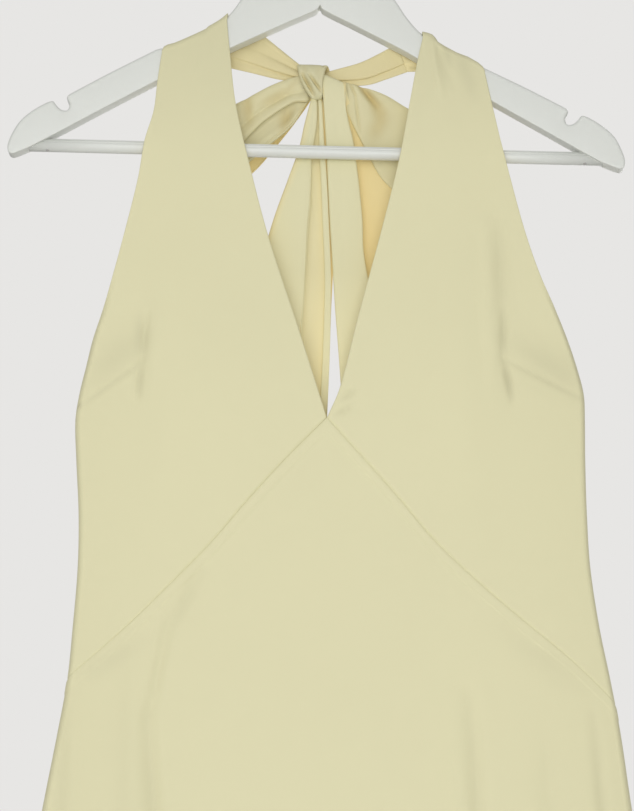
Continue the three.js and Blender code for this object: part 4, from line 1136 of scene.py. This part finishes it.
def painted_wood_material(colours):
    """White painted wood: smooth satin paint with the grain barely showing."""
    shader = Shader("white_painted_wood")
    grain = shader.noise(scale=26.0, detail=5.0, roughness=0.55, stretch=(1.0, 12.0, 14.0))
    brush = shader.noise(scale=420.0, detail=2.0, stretch=(1.0, 3.0, 3.0))
    return shader.finish(
        Base_Color=shader.blend(grain, rgba(colours.wood), rgba(colours.wood, 0.985)),
        Roughness=brush * 0.12 + 0.36,
        Normal=shader.bump(grain * 0.6 + brush * 0.4, strength=0.04),
        Coat_Weight=0.15,
        Coat_Roughness=0.3,
    )


def steel_material(colours):
    """Plated steel wire, faintly drawn along its length."""
    shader = Shader("plated_steel")
    drawn = shader.noise(scale=900.0, detail=3.0, stretch=(1.0, 1.0, 0.2))
    return shader.finish(
        Base_Color=rgba(colours.steel),
        Metallic=1.0,
        Roughness=drawn * 0.12 + 0.2,
        Normal=shader.bump(drawn, strength=0.05, distance=0.0001),
    )


def floor_material(colours):
    shader = Shader("pale_floor")
    speckle = shader.noise(scale=3.0, detail=2.0)
    base = shader.blend(speckle, rgba(colours.backdrop), rgba(colours.backdrop, 0.985))
    return shader.finish(Base_Color=base, Roughness=0.9)


def colour_property(name, description, *default):
    return FloatVectorProperty(name=name, description=description, subtype="COLOR", default=default)


def length_property(name, description, default):
    return FloatProperty(name=name, description=description, default=default, unit="LENGTH")


class DressColours(bpy.types.PropertyGroup):
    cloth: colour_property("Cloth", "The crepe's own colour", 0.79, 0.756, 0.489)
    # The colour of the painted warm bounce light in folds and inside the cloth
    bounce_light_colour: colour_property("Folds", "The crepe deep in its folds", 0.90, 0.74, 0.365)
    # The colour of the painted shade in the bow's and knot's creases
    crease_shade_colour: colour_property("Dents", "The crepe in its pressed dents", 0.64, 0.51, 0.22)
    wood: colour_property("Hanger", "White paint of the hanger", 0.755, 0.775, 0.735)
    steel: colour_property("Hook", "Plated steel of the hook", 0.62, 0.62, 0.62)
    backdrop: colour_property("Backdrop", "Floor and surroundings", 0.799, 0.791, 0.776)


class DressSizes(bpy.types.PropertyGroup):
    wall: length_property("Cloth thickness", "Thickness of the panels", 0.0009)
    tie_wall: length_property("Tie thickness", "Thickness of the ties", 0.0008)
    hem_stitches: IntProperty(
        name="Hem stitches", description="Blind stitches along each half of the hem", default=150, min=10
    )
    camera_distance: length_property("Camera distance", "From the camera to the hanger's plane", 2.0)


def settings():
    return bpy.context.scene.halter_dress_sizes, bpy.context.scene.halter_dress_colours


def material(name, build):
    """The named material, made once."""
    found = bpy.data.materials.get(name)
    return found or build(settings()[1])


def dress_piece(made, node):
    """Puts a finished piece of cloth in its place of the frame."""
    made.data.materials.append(material("butter_crepe", crepe_material))
    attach(made, "root")
    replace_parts(made, node)
    return made


class DRESS_OT_bodices(bpy.types.Operator):
    """Make the two front panels with their straps"""

    bl_idname = "dress.bodices"
    bl_label = "Front Bodices"

    def execute(self, context):
        wall = settings()[0].wall / MM
        for side, outward in (("left", 1), ("right", -1)):
            cloth = Cloth(wall)
            grid = bodice_grid(side)
            shade = STRAP_SHADE * (1 - smooth_between(*STRAP_SHADE_ENDS, -grid[..., 2]))
            cloth.add(grid, outward, shade=np.clip(shade + front_shade(grid), 0.0, 1.0))
            made = dress_piece(cloth.make(f"bodice_panel_{side}"), f"front_bodice_{side}")
        return {"FINISHED"}


def hem_stitches(face):
    """Blind stitches that hold the turned-up hem."""
    drop = np.full(STITCH_LINE, HEM_DROP - HEM_TURNING)
    reach = np.linspace(-STITCH_REACH, STITCH_REACH, STITCH_LINE) * section(drop)[3]
    spots = body_points(face, reach, drop, STITCH_OUT) * MM
    values = {
        "Count": settings()[0].hem_stitches,
        "Size": STITCH_SIZE * MM,
        "Material": material("butter_crepe", crepe_material),
    }
    line = line_object(f"hem_line_{face}", spots)
    made = nodes_piece(f"hem_stitches_{face}", stitch_group(), line, values)
    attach(made, "root")
    return made


class DRESS_OT_skirt(bpy.types.Operator):
    """Make the skirt's front and the whole back"""

    bl_idname = "dress.skirt"
    bl_label = "Skirt and Back"

    def execute(self, context):
        wall = settings()[0].wall / MM
        front = Cloth(wall)
        grid = skirt_grid()
        front.add(grid, -1, shade=front_shade(grid))
        made = dress_piece(front.make("skirt_front"), "front_skirt")
        sewn = [hem_stitches("front")]
        back = Cloth(wall)
        back.add(back_grid(), 1)
        made = dress_piece(back.make("dress_back"), "back_panel")
        sewn = [hem_stitches("back")]
        return {"FINISHED"}


class DRESS_OT_neck_bands(bpy.types.Operator):
    """Make the two bands from the straps to the knot"""

    bl_idname = "dress.neck_bands"
    bl_label = "Neck Bands"

    def execute(self, context):
        wall = settings()[0].tie_wall / MM
        for side, outward in (("left", -1), ("right", 1)):
            cloth = Cloth(wall, BAND_SHADE)
            grid = strip_grid(NECK_BANDS[side], along=60, across=50)
            cloth.add(grid, outward, BAND_BOUNCE_LIGHT, shade=BAND_SHADE)
            made = dress_piece(cloth.make(f"band_{side}"), f"neck_band_{side}")
        return {"FINISHED"}


def bow_relief(points, table, limit):
    """Presses creases into a strip's grid up to a limit along it, and gives how deep they are there for its
    painted crease shade.
    """
    rows = np.linspace(0.0, 1.0, len(points))[:, None]
    ease = 1 - smooth_between(limit - CREASE_FADE, limit, rows)
    x, drop = points[..., 0].copy(), -points[..., 2]
    points[..., 1] -= creases(table, x, drop) * ease
    return dented(table, x, drop, FULL_DENT) * ease


class DRESS_OT_bow(bpy.types.Operator):
    """Make the knot and the bow's two loops"""

    bl_idname = "dress.bow"
    bl_label = "Knot and Loops"

    def execute(self, context):
        wall = settings()[0].tie_wall / MM
        for side, outward in (("left", -1), ("right", 1)):
            # Painted light makes the inside of each loop paler
            cloth = Cloth(wall, LOOP_INSIDE_PAINTED_LIGHT)
            grid = strip_grid(LOOPS[side], along=150, across=84)
            crease_shade = bow_relief(grid, BOW_CREASES, LOOP_FRONT)
            back = smooth_between(*LOOP_TURN, np.linspace(0.0, 1.0, len(grid))[:, None])
            cloth.add(grid, outward, LOOP_BOUNCE_LIGHT + LOOP_BACK_BOUNCE_LIGHT * back, crease_shade, LOOP_SHADE * (1 - back))
            if side == "left":
                fold = strip_grid(LOWER_FOLD, along=90, across=76)
                crease_shade = bow_relief(fold, LOWER_CREASES, WHOLE_STRIP)
                cloth.add(fold, outward, LOWER_BOUNCE_LIGHT, crease_shade, LOOP_SHADE)
            made = dress_piece(cloth.make(f"loop_{side}"), f"bow_loop_{side}")
        self.knot(wall)
        return {"FINISHED"}

    def knot(self, wall):
        cloth = Cloth(wall)
        wrap = strip_grid(KNOT_WRAP, along=100, across=112)
        crease_shade = bow_relief(wrap, KNOT_CREASES, WHOLE_STRIP)
        cloth.add(wrap, -1, KNOT_BOUNCE_LIGHT, crease_shade, KNOT_SHADE)
        made = cloth.make("knot")
        core = bmesh.new()
        bmesh.ops.create_uvsphere(core, u_segments=48, v_segments=32, radius=1.0)
        for vert in core.verts:
            scaled = (c * size * MM for c, size in zip(vert.co, KNOT_CORE))
            vert.co = Vector(scaled) + Vector(KNOT_CENTRE) * MM
        for face in core.faces:
            face.smooth = True
        core.from_mesh(made.data)
        core.to_mesh(made.data)
        core.free()
        dress_piece(made, "tie_knot")


class DRESS_OT_tails(bpy.types.Operator):
    """Make the two hanging ends of the tie"""

    bl_idname = "dress.tails"
    bl_label = "Tails"

    def execute(self, context):
        wall = settings()[0].tie_wall / MM
        for side in SIDES:
            cloth = Cloth(wall)
            grid, warmth = tail_grid(TAILS[side], along=150, across=88)
            # Painted light makes the tails paler low in the V
            cloth.add(grid, -1, warmth, shade=np.interp(-grid[..., 2], *zip(*TAIL_PAINTED_LIGHT)))
            made = dress_piece(cloth.make(f"tail_{side}"), f"tie_tail_{side}")
        return {"FINISHED"}


def smooth_line(rows, samples, skip):
    """A smooth line through rows of out and drop, from row number skip to the last."""
    spots = np.array([[row["out"], row["drop"]] for row in rows])
    at = run_length(spots)
    places = np.linspace(at[skip], at[-1], samples)
    return np.stack([curve(at, values)(places) for values in spots.T], axis=-1)


def tilted(spots):
    """Points in mm in the hanger's own untilted frame, put in place and in metres."""
    x, y, z = np.array(spots).T
    return np.stack([x * TILT_COS + z * TILT_SIN, y, z * TILT_COS - x * TILT_SIN], axis=-1) * MM


def plain_piece(name, layers, faces, finish):
    """A piece that isn't cloth, from layers of points in the hanger's own frame."""
    mesh = bpy.data.meshes.new(name)
    mesh.from_pydata(tilted(np.concatenate(layers)).tolist(), [], faces)
    joined = bmesh.new()
    joined.from_mesh(mesh)
    bmesh.ops.remove_doubles(joined, verts=joined.verts, dist=1e-7)
    bmesh.ops.recalc_face_normals(joined, faces=joined.faces)
    joined.to_mesh(mesh)
    joined.free()
    mesh.polygons.foreach_set("use_smooth", np.ones(len(mesh.polygons), bool))
    mesh.update()
    made = linked(name, mesh)
    mesh.materials.append(finish)
    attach(made, "root")
    return made


def rings_to_faces(rings, around, capped=True):
    """Quads between rings of points that lie one after another, with a face on each end."""
    faces = []
    for k in range(rings - 1):
        for i in range(around):
            n = (i + 1) % around
            near, far = k * around, (k + 1) * around
            faces.append((near + i, near + n, far + n, far + i))
    if capped:
        faces.append(tuple(range(around - 1, -1, -1)))
        faces.append(tuple((rings - 1) * around + i for i in range(around)))
    return faces


def smoothed(ring, reach):
    """Averages a closed run of values with its neighbours on each side."""
    total = sum(np.roll(ring, k, axis=0) for k in range(-reach, reach + 1))
    return total / (2 * reach + 1)


def hanger_body(finish):
    """The wooden arms: one outline through the thickness, with rounded edges."""
    out = np.linspace(0.0, 1.0, ARM_SAMPLES)[:-1] ** ARM_SPREAD * ARM_TOP[-1]["out"]
    top = np.stack([out, ARM_TOP_DROP(out)], axis=-1)
    tip = smooth_line(ARM_ROUND, TIP_SAMPLES, 1)
    half = np.concatenate([top, tip])
    below = np.arange(len(half)) > len(top) + np.argmax(tip[:, 1]) - EDGE_CHANGE
    arms = {}
    for side in SIDES:
        upper, lower = (np.interp(half[:, 0], *zip(*ease[side])) for ease in (ARM_EASE, UNDER_EASE))
        arms[side] = half + np.stack([0 * upper, np.where(below, lower, upper)], axis=-1)
    ring = np.concatenate([arms["right"], arms["left"][-2:0:-1] * [-1.0, 1.0]]) * [1.0, -1.0]
    below = np.concatenate([below, below[-2:0:-1]])
    edge = smoothed(np.where(below, UNDER_EDGE, ARM_EDGE), EDGE_CHANGE)[:, None]
    travel = np.roll(ring, -1, axis=0) - np.roll(ring, 1, axis=0)
    inward = smoothed(unit(np.stack([travel[:, 1], -travel[:, 0]], axis=-1)), EDGE_SMOOTH)
    layers = []
    turns = np.linspace(0.0, math.pi / 2, EDGE_STEPS)
    for side, order in ((-1.0, turns), (1.0, turns[::-1])):
        for turn in order:
            line = ring + inward * edge * (1 - math.sin(turn))
            y = side * (HANGER_HALF_THICKNESS - edge[:, 0] * (1 - math.cos(turn)))
            layers.append(np.stack([line[:, 0], y, line[:, 1]], axis=-1))
    around = len(ring)
    faces = rings_to_faces(len(layers), around, capped=False)
    flat = [Vector(spot) for spot in (ring + inward * edge).tolist()]
    edges = [(i, (i + 1) % around) for i in range(around)]
    spots, _, cuts, _, _, _ = delaunay_2d_cdt(flat, edges, [], 1, 1e-5)
    base = len(layers) * around
    for side in (-1.0, 1.0):
        layers.append(np.array([(spot.x, side * HANGER_HALF_THICKNESS, spot.y) for spot in spots]))
        for cut in cuts:
            faces.append(tuple(base + i for i in (cut if side < 0 else cut[::-1])))
        base += len(spots)
    return plain_piece("hanger_wood", layers, faces, finish)


def hanger_bar(finish):
    """The round bar, grooved along its upper side."""
    angles = np.radians(np.arange(0.0, 360.0, BAR_ANGLE_STEP))
    radius = np.full(len(angles), BAR_RADIUS)
    for groove in GROOVE_ANGLES:
        away = (np.degrees(angles) - groove + 180.0) % 360.0 - 180.0
        radius -= GROOVE_DEPTH * np.exp(-((away / GROOVE_WIDTH) ** 2))
    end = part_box("hanger_bar")[1][0] / MM - BAR_INSET
    y, z = -radius * np.cos(angles), radius * np.sin(angles) - BAR_DROP
    layers = [np.stack([np.full(len(y), x), y, z], axis=-1) for x in np.linspace(-end, end, BAR_STATIONS)]
    return plain_piece("hanger_rail", layers, rings_to_faces(BAR_STATIONS, len(y)), finish)


def bar_nail(name, x, finish):
    """The head of a nail under the end of the bar."""
    angles = np.linspace(0.0, 2 * math.pi, NAIL_CORNERS, endpoint=False)
    away = np.array([0.0, -math.cos(NAIL_ANGLE), math.sin(NAIL_ANGLE)])
    along = np.array([1.0, 0.0, 0.0])
    ring = np.cos(angles)[:, None] * along + np.sin(angles)[:, None] * np.cross(away, along)
    middle = np.array([x, 0.0, -BAR_DROP])
    layers = [radius * ring + (BAR_RADIUS + out) * away + middle for radius, out in NAIL_RINGS]
    return plain_piece(name, layers, rings_to_faces(len(NAIL_RINGS), NAIL_CORNERS), finish)


def nodes_piece(name, group, base, values):
    """Runs a node group on an object once, and keeps the result as a plain mesh."""
    modifier = base.modifiers.new(name, "NODES")
    modifier.node_group = group
    for item in group.interface.items_tree:
        if item.in_out == "INPUT" and item.name in values:
            modifier[item.identifier] = values[item.name]
    graph = bpy.context.evaluated_depsgraph_get()
    mesh = bpy.data.meshes.new_from_object(base.evaluated_get(graph))
    base.modifiers.remove(modifier)
    made = linked(name, mesh)
    bpy.data.objects.remove(base)
    return made


def line_object(name, spots):
    """A bare run of edges through points in metres."""
    mesh = bpy.data.meshes.new(name)
    mesh.from_pydata(spots.tolist(), [(i, i + 1) for i in range(len(spots) - 1)], [])
    return linked(name, mesh)


class Group(Nodes):
    """Builds one geometry node group with named inputs."""

    def __init__(self, name, **inputs):
        super().__init__(bpy.data.node_groups.new(name, "GeometryNodeTree"))
        sockets = {"Geometry": "Geometry", **inputs, "Material": "Material"}
        for title, kind in sockets.items():
            self.tree.interface.new_socket(title, in_out="INPUT", socket_type="NodeSocket" + kind)
        self.tree.interface.new_socket("Geometry", in_out="OUTPUT", socket_type="NodeSocketGeometry")
        self.given = self.tree.nodes.new("NodeGroupInput").outputs
        self.path = self.node("MeshToCurve", {"Mesh": self.given["Geometry"]})["Curve"]

    def node(self, kind, inputs, **settings):
        return self.add("GeometryNode" + kind, inputs, settings)

    def finish(self, geometry):
        real = self.node("RealizeInstances", {"Geometry": geometry})["Geometry"]
        painted = self.node("SetMaterial", {"Geometry": real, "Material": self.given["Material"]})
        out = self.tree.nodes.new("NodeGroupOutput")
        self.tree.links.new(painted["Geometry"], out.inputs["Geometry"])
        return self.tree


def wire_group():
    """A round wire along a path."""
    build = Group("wire", Radius="Float", Step="Float")
    smooth = build.node("CurveSplineType", {"Curve": build.path}, spline_type="CATMULL_ROM")["Curve"]
    steps = {"Curve": smooth, "Length": build.given["Step"]}
    fine = build.node("ResampleCurve", steps, mode="LENGTH")["Curve"]
    ring = build.node("CurvePrimitiveCircle", {"Resolution": 24, "Radius": build.given["Radius"]})["Curve"]
    wire = build.node("CurveToMesh", {"Curve": fine, "Profile Curve": ring, "Fill Caps": True})["Mesh"]
    return build.finish(build.node("SetShadeSmooth", {"Geometry": wire})["Geometry"])


def stitch_group():
    """Small stitches at even steps along a line."""
    build = Group("stitches", Count="Int", Size="Float")
    points = build.node("CurveToPoints", {"Curve": build.path, "Count": build.given["Count"]}, mode="COUNT")
    bead = build.node("MeshIcoSphere", {"Radius": build.given["Size"], "Subdivisions": 1})["Mesh"]
    slim = build.node("Transform", {"Geometry": bead, "Scale": STITCH_SLIM})["Geometry"]
    laid = {"Points": points["Points"], "Instance": slim, "Rotation": points["Rotation"]}
    return build.finish(build.node("InstanceOnPoints", laid)["Instances"])


def hook_wire(finish):
    """The steel hook: a straight shank and a round bend."""
    angles = np.radians(np.linspace(*HOOK_BEND, HOOK_SAMPLES))
    bend = [HOOK_RADIUS * np.cos(angles), HOOK_RADIUS * (1 - np.sin(angles)) - WIRE_RADIUS]
    spots = tilted([(x, 0.0, -drop) for x, drop in SHANK + np.stack(bend, axis=-1).tolist()])
    values = {"Radius": WIRE_RADIUS * MM, "Step": WIRE_STEP * MM, "Material": finish}
    made = nodes_piece("hook_wire", wire_group(), line_object("hook_path", spots), values)
    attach(made, "root")
    return made


class DRESS_OT_hanger(bpy.types.Operator):
    """Make the wooden hanger with its bar, nails and hook"""

    bl_idname = "dress.hanger"
    bl_label = "Hanger"

    def execute(self, context):
        wood = material("white_painted_wood", painted_wood_material)
        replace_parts(hanger_body(wood), "hanger_body")
        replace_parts(hanger_bar(wood), "hanger_bar")
        steel = material("plated_steel", steel_material)
        for side, x in NAILS.items():
            bar_nail(f"bar_nail_{side}", x, steel)
        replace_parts(hook_wire(steel), "hanger_hook")
        return {"FINISHED"}


class DRESS_OT_stage(bpy.types.Operator):
    """Set up the floor, the light and the camera"""

    bl_idname = "dress.stage"
    bl_label = "Stage"

    def execute(self, context):
        sizes, colours = settings()
        scene = context.scene
        level = -(HEM_DROP + FLOOR_BELOW_HEM) * MM
        corners = [(x * FLOOR_HALF, y * FLOOR_HALF, level) for x, y in ((-1, -1), (1, -1), (1, 1), (-1, 1))]
        mesh = bpy.data.meshes.new("floor")
        mesh.from_pydata(corners, [], [(0, 1, 2, 3)])
        floor = linked("floor", mesh)
        mesh.materials.append(material("pale_floor", floor_material))
        for lamp in LIGHTS:
            self.light(**lamp)
        world = bpy.data.worlds.new("studio")
        scene.world = world
        world.use_nodes = True
        tree = world.node_tree
        back = tree.nodes["Background"]
        back.inputs["Color"].default_value = rgba(colours.backdrop)
        seen = tree.nodes.new("ShaderNodeLightPath").outputs["Is Camera Ray"]
        strength = tree.nodes.new("ShaderNodeMapRange")
        tree.links.new(seen, strength.inputs["Value"])
        strength.inputs["To Min"].default_value = AMBIENT
        tree.links.new(strength.outputs["Result"], back.inputs["Strength"])
        scene.view_settings.view_transform = "Standard"
        self.camera(scene, sizes.camera_distance)
        return {"FINISHED"}

    def light(self, name, place, aim, size, power):
        data = bpy.data.lights.new(name, "AREA")
        data.size = size
        data.energy = power
        lamp = linked(name, data)
        lamp.location = place
        lamp.rotation_euler = (Vector(aim) - Vector(place)).to_track_quat("-Z", "Y").to_euler()

    def camera(self, scene, distance):
        data = bpy.data.cameras.new("camera")
        data.lens = CAMERA_LENS
        data.sensor_width = CAMERA_SENSOR
        camera = linked("camera", data)
        camera.location = (CAMERA_X, -distance, CAMERA_Z)
        camera.rotation_euler = (CAMERA_PITCH, 0.0, 0.0)
        scene.camera = camera


class DRESS_PT_panel(bpy.types.Panel):
    """Lists the dress's pieces in the order they are made"""

    bl_idname = "DRESS_PT_panel"
    bl_label = "Halter Dress"
    bl_space_type = "VIEW_3D"
    bl_region_type = "UI"
    bl_category = "Dress"

    def draw(self, context):
        sizes, colours = settings()
        for name in ("wall", "tie_wall", "hem_stitches", "camera_distance"):
            self.layout.prop(sizes, name)
        for name in ("cloth", "bounce_light_colour", "crease_shade_colour", "wood", "steel", "backdrop"):
            self.layout.prop(colours, name)
        for step in STEPS:
            self.layout.operator(step.bl_idname)


STEPS = (
    DRESS_OT_stage,
    DRESS_OT_bodices,
    DRESS_OT_skirt,
    DRESS_OT_neck_bands,
    DRESS_OT_bow,
    DRESS_OT_tails,
    DRESS_OT_hanger,
)
CLASSES = (DressColours, DressSizes, *STEPS, DRESS_PT_panel)


def register():
    for item in CLASSES:
        bpy.utils.register_class(item)
    bpy.types.Scene.halter_dress_sizes = PointerProperty(type=DressSizes)
    bpy.types.Scene.halter_dress_colours = PointerProperty(type=DressColours)


def unregister():
    del bpy.types.Scene.halter_dress_sizes
    del bpy.types.Scene.halter_dress_colours
    for item in reversed(CLASSES):
        bpy.utils.unregister_class(item)


def main():
    register()
    bpy.ops.dress.stage()
    bpy.ops.dress.bodices()
    bpy.ops.dress.skirt()
    bpy.ops.dress.neck_bands()
    bpy.ops.dress.bow()
    bpy.ops.dress.tails()
    bpy.ops.dress.hanger()


if __name__ == "__main__":
    main()
